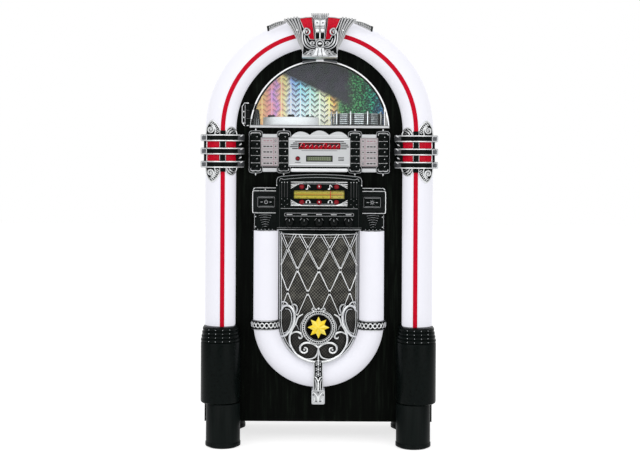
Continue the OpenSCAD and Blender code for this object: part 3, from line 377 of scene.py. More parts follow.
# Each row gives the colour, roughness, grain and relief in millimetres, variation, metal, shine,
# glow, share and stretch, as far as they differ from what grained() takes by itself.
GRAINED = {
    # Pressed hardboard: dull black with a fine fibre.
    "black_hardboard": ("#121212", 0.75, 3, 0.1, 0.35, 0, 0.15),
    # Opal acrylic: milk white all through, moulded smooth with a soft gloss, lit from inside.
    "opal_acrylic": ("lamp", 0.3, 60, 0, 0.01, 0, 0.1, 1),
    # Extruded red acrylic: one deep, even red with hardly any gloss.
    "red_acrylic": ("stripe", 0.35, 9, 0, 0.07, 0, 0.06),
    # Tinted lens: clear red with a wet shine and a slight ripple.
    "red_tinted_lens": ("stripe", 0.25, 5, 0.04, 0.2, 0, 0.08, 0, 0.96),
    # Smoked lens of the remote eye: a duller, darker red.
    "smoked_red_lens": ("#7C101C", 0.2, 3, 0, 0.4, 0, 0.2),
    # Paler plating on the high spots, painted highlights: brighter than the castings with their painted
    # shade.
    "bright_plated_abs": ("#DFE1E2", 0.28, 6, 0.01, 0.05, 0.7),
    # Antiqued silver: the same plating rubbed dull, darker than the paler plating of the painted highlights.
    "antique_silver": ("#AEAFB0", 0.45, 2.4, 0.05, 0.25, 0.35),
    # Hot-stamped foil: thin silver lines pressed on black plastic.
    "stamped_foil": ("#A9ABAD", 0.42, 3, 0, 0.12, 0.5, 0.3),
    # Rolled steel: mid grey, with a faint brushed grain.
    "hinge_steel": ("#55575A", 0.42, 2, 0.01, 0.15, 0.6),
    # Gloss black ABS: near black, with a trace of orange peel from the mould.
    "gloss_black_abs": ("gloss", 0.28, 7, 0.02, 0.3, 0, 0.05),
    # Polished black ABS of the knobs: wet gloss with small bright glints.
    "polished_black_abs": ("gloss", 0.2, 7, 0, 0.2, 0, 0.07, 0, 0.7),
    # Sprayed black lacquer on turned wood: satin, with faint upright streaks.
    "black_lacquer": ("gloss", 0.4, 1.6, 0.03, 0.4, 0, 0.07, 0, 1.2, (1, 1, 40)),
    # Textured black ABS: matt, with a fine spark-eroded grain.
    "satin_black_abs": ("#101213", 0.45, 1.2, 0.05, 0.25, 0, 0.1),
    # Moulded rubber: dull, slightly chalky black.
    "black_rubber": ("#171717", 0.85, 0.9, 0.08, 0.3, 0, 0.15),
    # Stoved black enamel on steel: hard, even gloss.
    "black_enamel": ("#0A0C0D", 0.3, 2, 0.03, 0.3, 0, 0.08),
    # Vacuum-plated trim: brighter and smoother than the castings.
    "silver_plated_abs": ("#E6E8EA", 0.35, 20, 0, 0.03, 0.1, 0.4),
    # Mirror-bright plating of the window rim, painted nearly white with a faint glow: a painted reflection
    # of the white room.
    "mirror_plate": ("#F4F5F6", 0.3, 20, 0, 0.03, 0, 0.4, 0.12),
    # Metallic paint: pale grey with a fine flake.
    "silver_paint": ("silver", 0.4, 0.6, 0.02, 0.06, 0.12, 0.3),
    # White ABS: plain, moulded smooth, with a faint glow: painted light that stands in for the lamps in the
    # chamber.
    "white_abs": ("#EDEDF0", 0.32, 4, 0.02, 0.03, 0, 0.3, 0.14),
    # Moulded polycarbonate discs: pale, glassy edges.
    "disc_polycarbonate": ("#E4EAEE", 0.25, 5, 0, 0.2, 0.2),
    # Printed card: cool grey-pink stock, uncoated.
    "pale_card": ("#AFADAE", 0.65, 1.5, 0.03, 0.06, 0, 0.1),
    # Printing ink: soft charcoal, slightly broken up by the card.
    "card_ink": ("#2C272A", 0.6, 0.8, 0, 0.25, 0, 0.1),
    # Rose ink: the thin frames and headings on the cards.
    "rose_ink": ("#A07C86", 0.55, 0.8, 0, 0.2, 0, 0.15),
    # White of the painted highlights along the name plate's waves: flat, a little warm.
    "label_white": ("#C6C0C3", 0.55, 1.5, 0.02, 0.04, 0, 0.2),
    # Dark red-black lacquer behind the name plate's ornament.
    "name_lacquer": ("#1E070A", 0.25, 3, 0.01, 0.4, 0, 0.2),
    # Translucent dome: deep red, lighter where it is thin.
    "red_dome": ("#7E0E1A", 0.2, 4, 0, 0.25, 0, 0.2),
    # Off segments of the display: a darker olive than the ground.
    "display_segment": ("#59634A", 0.3, 1.5, 0, 0.15, 0, 0.2),
    # Brown printing ink of the dial's marks.
    "dial_ink": ("#4A3A10", 0.4, 0.7, 0, 0.3, 0, 0.2),
    # Painted needle: bright orange red.
    "needle_red": ("#C42F1A", 0.3, 1, 0, 0.15, 0, 0.2),
    # Baked lacquer on the badge: the deepest black on the front.
    "badge_lacquer": ("#040404", 0.3, 6, 0.01, 0.3, 0, 0.03),
    # Yellow enamel: warm and even.
    "star_enamel": ("star", 0.3, 4, 0.01, 0.08, 0, 0.25),
    # Paler copy of the yellow enamel on the facets that face up-right and down-left: painted light.
    "pale_enamel": ("#F0DC5A", 0.3, 4, 0.01, 0.08, 0, 0.25),
    # Pressed steel, painted dark grey: dull, with a slight sheen.
    "driver_steel": ("#2C2D2E", 0.5, 2, 0.02, 0.2, 0.3),
    # Circuit board: green lacquer over copper, so it looks mottled.
    "circuit_board": ("#1F5A33", 0.4, 5, 0.05, 0.4),
    # Zinc-plated steel: pale grey with a fine, frosty grain.
    "zinc_plate": ("#B9BCBE", 0.3, 0.8, 0.02, 0.12, 1),
}


# Finishes of a casting: chrome with painted shade in its hollows, black grounds and bright high spots that
# paint highlights
CASTING = ["chrome_plated_abs", "gloss_black_abs", "bright_plated_abs"]


def finish(name):
    """The named material, made the first time that it is asked for."""
    made = bpy.data.materials.get(name)
    if not made and name in GRAINED:
        made = grained(name, *GRAINED[name])
    return made or PATTERNED[name](name, bpy.context.scene.jukebox_colours)


# Shapes, in millimetres. Each one is added to a bmesh.

def merge(target, part, mat=0, bend=None):
    """Put a finished shape into a piece, with its material number and an optional bend."""
    for face in part.faces:
        face.material_index = mat
    if bend:
        for vert in part.verts:
            vert.co = bend(vert.co)
    mesh = bpy.data.meshes.new("shape")
    part.to_mesh(mesh)
    part.free()
    target.from_mesh(mesh)
    bpy.data.meshes.remove(mesh)


def seal(target, part, mat=0, bend=None):
    """Join a shape's seams, turn its faces outward and put it into a piece."""
    bmesh.ops.remove_doubles(part, verts=part.verts, dist=WELD)
    bmesh.ops.recalc_face_normals(part, faces=part.faces[:])
    merge(target, part, mat, bend)


def only(kind, geom):
    """The vertices, edges or faces among a bmesh operator's results."""
    return [g for g in geom if isinstance(g, getattr(bmesh.types, "BM" + kind))]


def chain(part, points, closed=False):
    """Vertices at points and the edges between them."""
    verts = [part.verts.new(p) for p in points]
    run = verts + verts[:1] if closed else verts
    return verts, [part.edges.new(pair) for pair in zip(run, run[1:])]


def soften(part, edges, width, segments=2):
    """Round the given edges."""
    bmesh.ops.bevel(part, geom=edges, offset=width, offset_type="OFFSET", segments=segments,
                    profile=0.5, affect="EDGES", material=-1, clamp_overlap=True)


def cube(size, at):
    """A new box of a size about a point."""
    part = bmesh.new()
    bmesh.ops.create_cube(part, size=1.0)
    bmesh.ops.scale(part, vec=size, verts=part.verts)
    bmesh.ops.translate(part, vec=at, verts=part.verts)
    return part


def block(target, x, y, z, width=0.6, mat=0, segments=2):
    """A box between pairs of bounds, with rounded edges."""
    part = cube([b - a for a, b in (x, y, z)], [(a + b) / 2 for a, b in (x, y, z)])
    if width:
        soften(part, part.edges[:], width, segments)
    merge(target, part, mat)


def pad(size, at, ease):
    """A block with rounded corners and a front eased by a width, and its front face."""
    part = cube(size, at)
    soften(part, [e for e in part.edges if abs(e.verts[0].co.y - e.verts[1].co.y) > 1], 2.0, 3)
    soften(part, [e for f in part.faces if f.normal.y < -0.9 for e in f.edges], ease, 3)
    return part, max((f for f in part.faces if f.normal.y < -0.9), key=lambda f: f.calc_area())


def prism(target, outline, low, high, axis="Y", width=0.0, ends="LOW", mat=0, bend=None, cuts=0):
    """A flat outline made solid from low to high along an axis, its end edges rounded."""
    part = bmesh.new()
    spots = [(a, high, b) if axis == "Y" else (a, b, high) for a, b in outline]
    step = (0, low - high, 0) if axis == "Y" else (0, 0, low - high)
    face = part.faces.new([part.verts.new(s) for s in spots])
    if cuts:
        bmesh.ops.triangulate(part, faces=part.faces[:])
        bmesh.ops.subdivide_edges(part, edges=part.edges[:], cuts=cuts, use_grid_fill=True)
    moved = only("Vert", bmesh.ops.extrude_face_region(part, geom=part.faces[:])["geom"])
    bmesh.ops.translate(part, vec=step, verts=moved)
    bmesh.ops.recalc_face_normals(part, faces=part.faces[:])
    if width and not cuts:
        tops = [f for f in part.faces if all(v in set(moved) for v in f.verts)]
        edges = {e for f in tops for e in f.edges}
        if ends == "BOTH":
            edges |= set(face.edges)
        soften(part, list(edges), width)
    merge(target, part, mat, bend)


def turned(target, profile, centre, axis="Z", steps=48, mat=0):
    """(radius, height) pairs turned about an upright, sideways or front-to-back axis."""
    part = bmesh.new()
    a, b = centre
    spot = {"Z": lambda r, h: (a + r, b, h), "Y": lambda r, h: (a + r, h, b),
            "X": lambda r, h: (h, a, b + r)}[axis]
    about = {"Z": (0, 0, 1), "Y": (0, 1, 0), "X": (1, 0, 0)}[axis]
    verts, edges = chain(part, [spot(r, h) for r, h in profile])
    bmesh.ops.spin(part, geom=verts + edges, cent=spot(0, 0), axis=about, angle=math.tau, steps=steps,
                   use_merge=True, use_duplicate=False)
    seal(target, part, mat)


def bowed(target, section, centre_z, start, end, steps, legs=None, mat=0):
    """A closed section of (radius, y) points turned about the arch's middle.

    With legs, both ends run straight on to that height."""
    part = bmesh.new()
    first = math.radians(start)
    ring, edges = chain(part, [(r * math.cos(first), y, centre_z + r * math.sin(first))
                               for r, y in section], closed=True)
    made = bmesh.ops.spin(part, geom=ring + edges, cent=(0, 0, centre_z), axis=(0, -1, 0),
                          angle=math.radians(end - start), steps=steps, use_duplicate=False)
    for loop in (edges, only("Edge", made["geom_last"])):
        if legs is not None:
            grown = bmesh.ops.extrude_edge_only(part, edges=loop)["geom"]
            bmesh.ops.translate(part, vec=(0, 0, legs - centre_z), verts=only("Vert", grown))
            loop = only("Edge", grown)
        bmesh.ops.edgeloop_fill(part, edges=loop)
    seal(target, part, mat)


def flow(points, steps=5):
    """Points on a smooth line through the given ones."""
    knots = [Vector(p) for p in points]
    knots = [2 * knots[0] - knots[1]] + knots + [2 * knots[-1] - knots[-2]]
    line = []
    for a, b, c, d in zip(knots, knots[1:], knots[2:], knots[3:]):
        for i in range(steps):
            t = i / steps
            line.append(0.5 * (2 * b + (c - a) * t + (2 * a - 5 * b + 4 * c - d) * t ** 2
                               + (3 * b - a - 3 * c + d) * t ** 3))
    return line + [knots[-2]]


def from_curve(curve):
    """The shape of a curve or a text as a bmesh."""
    holder = bpy.data.objects.new("shape", curve)
    mesh = bpy.data.meshes.new_from_object(holder)
    part = bmesh.new()
    part.from_mesh(mesh)
    bpy.data.objects.remove(holder)
    bpy.data.curves.remove(curve)
    bpy.data.meshes.remove(mesh)
    return part


def wire(target, points, radius, taper=(1, 1), closed=False, mat=0, bend=None, sides=2, smooth=5):
    """A round rod along points, smoothed unless smooth is 0, with its thickness as taper says."""
    line = flow(points, smooth) if smooth and len(points) > 2 else [Vector(p) for p in points]
    curve = bpy.data.curves.new("wire", "CURVE")
    curve.dimensions = "3D"
    curve.bevel_depth = radius
    curve.bevel_resolution = sides
    curve.use_fill_caps = True
    spline = curve.splines.new("POLY")
    spline.points.add(len(line) - 1)
    for i, at in enumerate(line):
        along = i / (len(line) - 1) * (len(taper) - 1)
        low = min(int(along), len(taper) - 2)
        spline.points[i].co = (*at, 1)
        spline.points[i].radius = taper[low] + (taper[low + 1] - taper[low]) * (along - low)
    spline.use_cyclic_u = closed
    seal(target, from_curve(curve), mat, bend)


def hoop(target, points, y, radius, mat=0, sides=2):
    """A closed wire round flat (x, z) points at a depth."""
    wire(target, upright(points, y), radius, closed=True, smooth=0, mat=mat, sides=sides)


def sprays(target, rows, side=1):
    """Wires on the right or, mirrored, on the left.

    Each row gives its flat points, depth, radius, taper and material."""
    for points, y, radius, taper, mat in rows:
        wire(target, upright(points, y, side), radius, taper, mat=mat)


def bead(target, at, radius, stretch=(1, 1, 1), turn=0.0, mat=0, bend=None, fine=8):
    """A rounded bead, stretched along its axes and turned about the front-to-back axis."""
    part = bmesh.new()
    bmesh.ops.create_uvsphere(part, u_segments=fine + 2, v_segments=fine - 2, radius=radius)
    place = (Matrix.Translation(at) @ Matrix.Rotation(math.radians(turn), 4, "Y")
             @ Matrix.Diagonal((*stretch, 1)))
    bmesh.ops.transform(part, matrix=place, verts=part.verts)
    merge(target, part, mat, bend)


def figures(target, text, x, y, z, height, mat=0):
    """Plain figures that face the front, centred on a point."""
    curve = bpy.data.curves.new("figures", "FONT")
    curve.body = text
    curve.size = height
    curve.align_x, curve.align_y = "CENTER", "CENTER"
    curve.extrude = 0.1
    part = from_curve(curve)
    stand = Matrix.Translation((x, y, z)) @ Matrix.Rotation(math.pi / 2, 4, "X")
    bmesh.ops.transform(part, matrix=stand, verts=part.verts)
    merge(target, part, mat)


def both_sides(bm):
    """Add the mirror image on the other side."""
    mesh = bpy.data.meshes.new("shape")
    bm.to_mesh(mesh)
    mesh.transform(Matrix.Diagonal((-1, 1, 1, 1)))
    mesh.flip_normals()
    bm.from_mesh(mesh)
    bpy.data.meshes.remove(mesh)


def polar(x, z, radius, degrees):
    """The point at a radius and an angle from (x, z)."""
    a = math.radians(degrees)
    return (x + radius * math.cos(a), z + radius * math.sin(a))


def spiral(x, z, outer, inner, start, turns, count=26):
    """Points of a scroll that winds in about (x, z)."""
    steps = [i / (count - 1) for i in range(count)]
    return [polar(x, z, outer + (inner - outer) * t, start + 360 * turns * t) for t in steps]


def arc(x, z, radius, start, end, count=13):
    """Points on part of a circle."""
    return [polar(x, z, radius, start + (end - start) * i / (count - 1)) for i in range(count)]


def rounded(x0, x1, z0, z1, radius):
    """Outline of a rectangle with round corners."""
    turns = ((x1 - radius, z1 - radius), (x0 + radius, z1 - radius),
             (x0 + radius, z0 + radius), (x1 - radius, z0 + radius))
    return [p for i, (x, z) in enumerate(turns) for p in arc(x, z, radius, 90 * i, 90 * i + 90, 6)]


def mirrored(points, side):
    """Flat points on the right or, mirrored, on the left."""
    return [(side * x, z) for x, z in points]


def upright(points, y, side=1):
    """Flat (x, z) points stood at a depth, on the right or, mirrored, on the left."""
    return [(side * x, y, z) for x, z in points]


def piece(name, bm, finishes, hides=None, body="cabinet", sharp=35, merged=True):
    """Turn a bmesh in millimetres into a finished piece that hides a CAD node and rides on a body."""
    if merged:
        bmesh.ops.remove_doubles(bm, verts=bm.verts, dist=WELD / 2)
    bmesh.ops.scale(bm, vec=(MM, MM, MM), verts=bm.verts)
    mesh = bpy.data.meshes.new(name)
    bm.to_mesh(mesh)
    bm.free()
    for one in ([finishes] if isinstance(finishes, str) else finishes):
        mesh.materials.append(finish(one))
    mesh.shade_smooth()
    mesh.set_sharp_from_angle(angle=math.radians(sharp))
    made = bpy.data.objects.new(name, mesh)
    bpy.context.scene.collection.objects.link(made)
    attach(made, body)
    if hides:
        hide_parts(hides)
    return made


def smoothed(node, finish_name, edge=0.6):
    """A copy of a CAD node with its edges eased and its round faces smooth."""
    bm = bmesh.new()
    bm.from_mesh(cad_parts[node].data)
    bmesh.ops.scale(bm, vec=(1 / MM, 1 / MM, 1 / MM), verts=bm.verts)
    bmesh.ops.remove_doubles(bm, verts=bm.verts, dist=WELD)
    flat, sharp = 0.5, 30  # degrees
    bmesh.ops.dissolve_limit(bm, angle_limit=math.radians(flat), verts=bm.verts[:], edges=bm.edges[:])
    made = piece(node + "_finish", bm, finish_name, node, sharp=sharp, merged=False)
    ease = made.modifiers.new("Eased edges", "BEVEL")
    ease.width = edge * MM
    ease.segments = 2
    ease.limit_method = "ANGLE"
    ease.angle_limit = math.radians(sharp)


def paint(node, finish_name):
    """Give a CAD node that stays as it is its finish."""
    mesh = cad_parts[node].data
    mesh.materials.clear()
    mesh.materials.append(finish(finish_name))


# Sections shared by the lamps and what goes round them

def hump(near, far, top):
    """Outside of a round-topped section from its inner to its outer foot: (across, out)."""
    steps = 14
    return ([(-near, 0)] + arc(0, top - near, near, 180, 90, steps)
            + arc(0, top - far, far, 90, 0, steps)[1:] + [(far, 0)])


def lamp_line(grow=0.0):
    """Outside of a pillar lamp about its ridge."""
    return hump(LAMP_IN + grow, LAMP_OUT + grow, LAMP_H + grow)


def clamp_line(shrink=0.0):
    """Outside of a clamp bar about the ridge."""
    return hump(49 - shrink, 53.5 - shrink, 64 - shrink)


def bow_line(grow=0.0, steps=12):
    """Outside of the bow lamp about its middle."""
    half, top = BOW_HALF + grow, BOW_H + grow
    return [(-half, 0.0)] + arc(0, top - half, half, 180, 0, 2 * steps) + [(half, 0.0)]


def shell(outside, inside, at):
    """A closed wall between two lines, as plan points about a distance from the middle."""
    return [(at + u, PANEL - h) for u, h in outside + inside[::-1]]


def on_lamp(at):
    """Lay a relief made about y = 0 on a pillar lamp."""
    u = at.x - RIDGE
    radius = LAMP_OUT if u > 0 else LAMP_IN
    height = LAMP_H - radius + math.sqrt(max(0.0, radius ** 2 - u ** 2))
    return Vector((at.x, at.y + PANEL - height, at.z))


def bulge(x):
    """Depth of the grille's front at a distance from the middle."""
    return BULGE_Y - math.sqrt(BULGE_R ** 2 - min(abs(x), 115) ** 2)


def on_grille(at):
    """Lay a relief made about y = 0 on the grille's bulge."""
    return Vector((at.x, at.y + bulge(at.x), at.z))


def along_bulge(points, lift):
    """Flat (x, z) points laid on the grille's bulge."""
    return [(x, bulge(x) + lift, z) for x, z in points]


def studio_floor(scene):
    """A wide floor of white paper, which looks brighter than the light that it throws back."""
    bm = bmesh.new()
    bmesh.ops.create_grid(bm, x_segments=8, y_segments=8, size=9.0)
    mesh = bpy.data.meshes.new("floor")
    bm.to_mesh(mesh)
    bm.free()
    made = bpy.data.objects.new("floor", mesh)
    scene.collection.objects.link(made)
    paper, add, shader, place = begin("white_paper_sweep", 0.9)
    fibre = add("TexNoise", {"Vector": place, "Scale": 40.0, "Detail": 2.0})
    tint = add("ValToRGB", {"Fac": fibre}, [(0.3, linear("#BEBEBE")), (0.7, linear("#C1C1C1"))])
    path = add("LightPath").outputs
    seen = add("Math", {0: path["Is Camera Ray"], 1: path["Is Glossy Ray"]}, operation="MAXIMUM")
    both = add("Math", {0: seen, 1: path["Is Transmission Ray"]}, operation="MAXIMUM")
    share = add("Math", {0: both, 1: 0.72}, operation="MULTIPLY")
    join(shader, {"Base Color": tint, "Specular IOR Level": 0.0, "Emission Strength": share,
                  "Emission Color": (1, 1, 1, 1)})
    mesh.materials.append(paper)


def studio_light(scene):
    """A white sweep behind the object, a dim room behind the camera and four soft lights."""
    scene.world = bpy.data.worlds.new("studio")
    scene.world.use_nodes = True
    add = partial(new_node, scene.world.node_tree)
    way = add("TexCoord").outputs["Generated"]
    axes = add("SeparateXYZ", {"Vector": way})
    room = add("MapRange", {0: axes.outputs[1], 1: -0.3, 2: 0.6, 3: 0.3, 4: 1.0})
    path = add("LightPath").outputs
    seen = add("Math", {0: path["Is Camera Ray"], 1: path["Is Transmission Ray"]}, operation="MAXIMUM")
    shown = add("Math", {0: seen, 1: path["Is Glossy Ray"]}, operation="MAXIMUM")
    glossy = add("Mix", {0: seen, 2: room, 3: 1.0})
    level = add("Mix", {0: shown, 2: 0.72, 3: glossy})
    join(scene.world.node_tree.nodes["Background"], {"Strength": level, "Color": (1, 1, 1, 1)})
    for name, at, aim, size, power in (
            ("key", (-2.0, -2.7, 1.6), (0, 0, 0.6), (2.6, 2.8), 36),
            ("fill", (2.0, -2.7, 1.3), (0, 0, 0.6), (2.6, 2.6), 33),
            ("front", (0.0, -3.3, 1.95), (0, 0, 0.75), (2.2, 0.7), 15),
            ("top", (0.0, -0.4, 2.9), (0, 0, 0.6), (1.6, 1.0), 5)):
        lamp = bpy.data.lights.new(name, "AREA")
        lamp.shape = "RECTANGLE"
        lamp.size, lamp.size_y = size
        lamp.energy = power
        holder = bpy.data.objects.new(name, lamp)
        scene.collection.objects.link(holder)
        holder.location = at
        toward = Vector(aim) - Vector(at)
        holder.rotation_euler = toward.to_track_quat("-Z", "Y").to_euler()


def photo_camera(scene):
    """The camera that the front was measured with."""
    image_w, image_h, focal_px, sensor = 640, 473, 1270, 36.0
    axis_row = 150.5  # pixel row that the optical axis meets
    view = bpy.data.cameras.new("camera")
    view.sensor_fit = "HORIZONTAL"
    view.sensor_width = sensor
    view.lens = focal_px / image_w * sensor
    view.shift_y = (axis_row - image_h / 2) / image_w
    holder = bpy.data.objects.new("camera", view)
    scene.collection.objects.link(holder)
    holder.location = (0.0015, -3.2, 0.719)
    holder.rotation_euler = (math.pi / 2, math.radians(-0.29), 0)
    scene.camera = holder


class JUKEBOX_OT_stage(bpy.types.Operator):
    """Set the floor, the soft studio light and the camera"""
    bl_idname = "jukebox.stage"
    bl_label = "Stage"

    def execute(self, context):
        context.scene.view_settings.view_transform = "Standard"
        studio_floor(context.scene)
        studio_light(context.scene)
        photo_camera(context.scene)
        return {"FINISHED"}


class JUKEBOX_OT_cabinet(bpy.types.Operator):
    """Finish the cabinet, its back and what is inside it"""
    bl_idname = "jukebox.cabinet"
    bl_label = "Cabinet"

    def execute(self, context):
        smoothed("cabinet_shell", "black_oak_film", 1.0)
        smoothed("front_panel", "black_oak_film")
        smoothed("back_panel", "black_hardboard")
        smoothed("base_board", "black_hardboard")
        for node, name in (("speaker_drivers", "driver_steel"), ("main_board", "circuit_board"),
                           ("transformer", "iron_laminations"), ("led_strips", "strip_white"),
                           ("mains_inlet", "satin_black_abs"), ("back_screws", "zinc_plate")):
            paint(node, name)
        return {"FINISHED"}


class JUKEBOX_OT_lamps(bpy.types.Operator):
    """Model the white lamp covers and their red stripes"""
    bl_idname = "jukebox.lamps"
    bl_label = "Lamps"

    def execute(self, context):
        sizes = context.scene.jukebox_sizes
        wall, half = sizes.cover_wall / MM, sizes.stripe_width / MM / 2
        bm = bmesh.new()
        bowed(bm, shell(lamp_line(), lamp_line(-wall), RIDGE), ARCH_Z, 0, 180, 120, PEDESTAL_TOP)
        piece("pillar_lamps", bm, "opal_acrylic", "lamp_covers")
        crown = [(half, 51), (half, 52.9), (half - 0.8, 53.5)]
        strip = [(RIDGE + u, PANEL - h) for u, h in mirrored(crown, -1) + crown[::-1]]
        bm = bmesh.new()
        bowed(bm, strip, ARCH_Z, 0, 77, 60)
        prism(bm, strip, PEDESTAL_TOP, ARCH_Z, "Z")
        both_sides(bm)
        piece("pillar_stripes", bm, "red_acrylic", "red_stripes")
        bm = bmesh.new()
        bowed(bm, shell(bow_line(), bow_line(-wall), BOW_MID), BOW_Z, 180, 360, 120, BOW_TOP)
        piece("bow_cover", bm, "opal_acrylic", "bow_lamp")
        return {"FINISHED"}


def clamp_block(bm, u, h, z, width, mat=0, segments=2):
    """A block placed across from the lamp's ridge (u) and out from the panel (far h, near h)."""
    block(bm, [RIDGE + a for a in u], [PANEL - a for a in h], z, width, mat, segments)


def clamp_bar(bm, z, inside):
    """A black bar with bright edges, a square lug outside and a pointed tip inside. Its black core and
    bright lips paint the reflections of a round chrome bar, and a pale bead paints the tip's highlight.
    """
    # Painted reflection: a black recessed core between bright lips, as a round chrome bar shows
    prism(bm, shell(clamp_line(2), inside, RIDGE), z - 5.8, z + 5.8, "Z", mat=1)
    for low, high in ((-BAR_HALF, -5.2), (5.2, BAR_HALF)):
        prism(bm, shell(clamp_line(), inside, RIDGE), z + low, z + high, "Z", 1.0, "BOTH", mat=2)
    clamp_block(bm, (38.4, 54.6), (46, 0), (z - 8.2, z + 8.2), 2.6, segments=3)
    clamp_block(bm, (41.6, 51.6), (47.4, 45), (z - 5, z + 5), 1.2, 3)
    tip = [(-49.6, 0), (-49.6, 24), (-42, 40), (-36, 46), (-30, 40), (-30, 0)]
    prism(bm, [(RIDGE + u, PANEL - h) for u, h in tip], z - 6.4, z + 6.4, "Z", 2.4, "BOTH", mat=3)
    # Painted highlight: a pale bead on the tip
    bead(bm, (RIDGE - 44.5, PANEL - 40, z + 5.4), 2.6, (1.7, 1, 0.75), 32, mat=2)


def clamp_posts(bm, low, high):
    """Black uprights between two bars, edged in chrome."""
    for u, h, width, mat in (((-6, 6), (61, 52), 0.6, 1), ((-7.7, -5.9), (59.6, 50), 0.3, 0),
                             ((5.9, 7.7), (59.6, 50), 0.3, 0), ((41.5, 47.5), (37, 4), 0.8, 1),
                             ((39.2, 41.2), (37.5, 20), 0.3, 2), ((-42, -29.5), (36, 0), 0.8, 1)):
        clamp_block(bm, u, h, (low, high), width, mat)
    bead(bm, (RIDGE - 41, PANEL - 35, (low + high) / 2), 2.8, (1.6, 1, 0.7), 35, mat=2)


def clamp_leaves(bm, up):
    """The two leaves that stand on an end bar, a tall one outside and a low one inside."""
    base = CLAMP_Z + up * (BAR_HALF + BAR_PITCH)
    tall = [(6.5, 0), (6.4, 8), (8.4, 14.5), (14.5, 24), (22, 31.6), (27, 33.6), (34, 28.6), (40, 19.5),
            (43, 9), (44.2, 0)]
    low = [(-7.5, 0), (-8.4, 8.5), (-12.5, 15), (-19.5, 18), (-26.5, 14), (-30.5, 6), (-31.5, 0)]
    for line in (tall, low):
        plate = line + [(line[-1][0], -3), (line[0][0], -3)]
        prism(bm, [(RIDGE + u, base + up * h) for u, h in plate], -2.0, 0.4, mat=1, bend=on_lamp, cuts=3)
    rows = [(tall, -2.6, 2.0, (1, 0.9, 1.2, 0.9, 1), 2),
            (spiral(31, 12, 9, 2, 100, 1.5), -3.0, 2.0, (0.8, 1.2, 0.7), 2),
            ([(20, 0), (18.5, 9), (21, 18), (27, 25), (33, 25)], -3.0, 1.8, (1, 1.1, 0.6), 2),
            (low, -2.2, 1.7, (1.1, 0.9, 1.1), 2),
            ([(-10, 1), (-14, 9), (-21, 14.5)], -2.8, 1.6, (0.8, 1.2, 0.8), 2),
            ([(-15.5, 1), (-19, 6.5), (-25.5, 10.5)], -2.8, 1.7, (0.8, 1.2, 0.7), 2),
            ([(-21.5, 1), (-24, 3.6), (-28.5, 5.6)], -2.8, 1.3, (0.8, 1.2, 0.7), 0)]
    # Short ribs square to the inner edge
    for i in range(7):
        t = i / 6
        u, h = 8.6 + 15.4 * t ** 1.25, 7 + 24 * t
        rib = [(u, h), (u + 3.4 + 0.8 * t, h - 1.6 - 2.4 * t), (u + 6.4, h - 3.6 - 3.6 * t)]
        rows.append((rib, -3.1, 1.15, (1.1, 1, 0.6), 2))
    for points, lift, radius, taper, mat in rows:
        line = [(RIDGE + u, lift, base + up * h) for u, h in points]
        wire(bm, line, radius, taper, mat=mat, bend=on_lamp)
    bead(bm, (RIDGE + 31, -3.6, base + up * 12), 2.3, bend=on_lamp, mat=2)
    # Black socket where the stripe goes in
    clamp_block(bm, (-6.6, 6.2), (58, 51), sorted((base - up, base + up * 9.5)), 0.8, 1)


class JUKEBOX_OT_clamps(bpy.types.Operator):
    """Model the chrome clamps on the pillars and every red lens"""
    bl_idname = "jukebox.clamps"
    bl_label = "Side clamps"

    def execute(self, context):
        inside = lamp_line(0.6)
        gap, play = BAR_PITCH - 2 * BAR_HALF, 0.1
        lows = (CLAMP_Z - BAR_PITCH + BAR_HALF, CLAMP_Z + BAR_HALF)
        bm = bmesh.new()
        for step in (-1, 0, 1):
            clamp_bar(bm, CLAMP_Z + step * BAR_PITCH, inside)
        for low in lows:
            clamp_posts(bm, low, low + gap)
        for up in (1, -1):
            clamp_leaves(bm, up)
        both_sides(bm)
        piece("clamp_castings", bm, CASTING + ["hinge_steel"], "side_clamps")
        bm = bmesh.new()
        for low in lows:
            prism(bm, shell(lamp_line(4), inside, RIDGE), low + play, low + gap - play, "Z", 0.6, "BOTH")
        both_sides(bm)
        # The two windows of the crest are red too, and the remote eye is smoked red
        for side in (-1, 1):
            prism(bm, mirrored(CREST_WINDOW, side), -142.6, -129.5, width=1.0)
        turned(bm, [(0, -84.8), (2.6, -84.3), (4.2, -83.4), (4.8, -82.4), (4.8, FRAME_Y)], EYE, "Y", 28, 1)
        piece("red_lenses_clear", bm, ["red_tinted_lens", "smoked_red_lens"], "red_lenses")
        return {"FINISHED"}


CREST_WINDOW = [(13, 986), (24, 986.5), (29, 996), (36, 1008), (42, 1018), (49.5, 1036.5), (34, 1039.2),
                (19, 1040)]


def feather_top(x):
    """Height of the feather's upper edge, which droops towards its tip."""
    return 1031 - 0.129 * (x - 84) - 0.0049 * (x - 84) ** 2


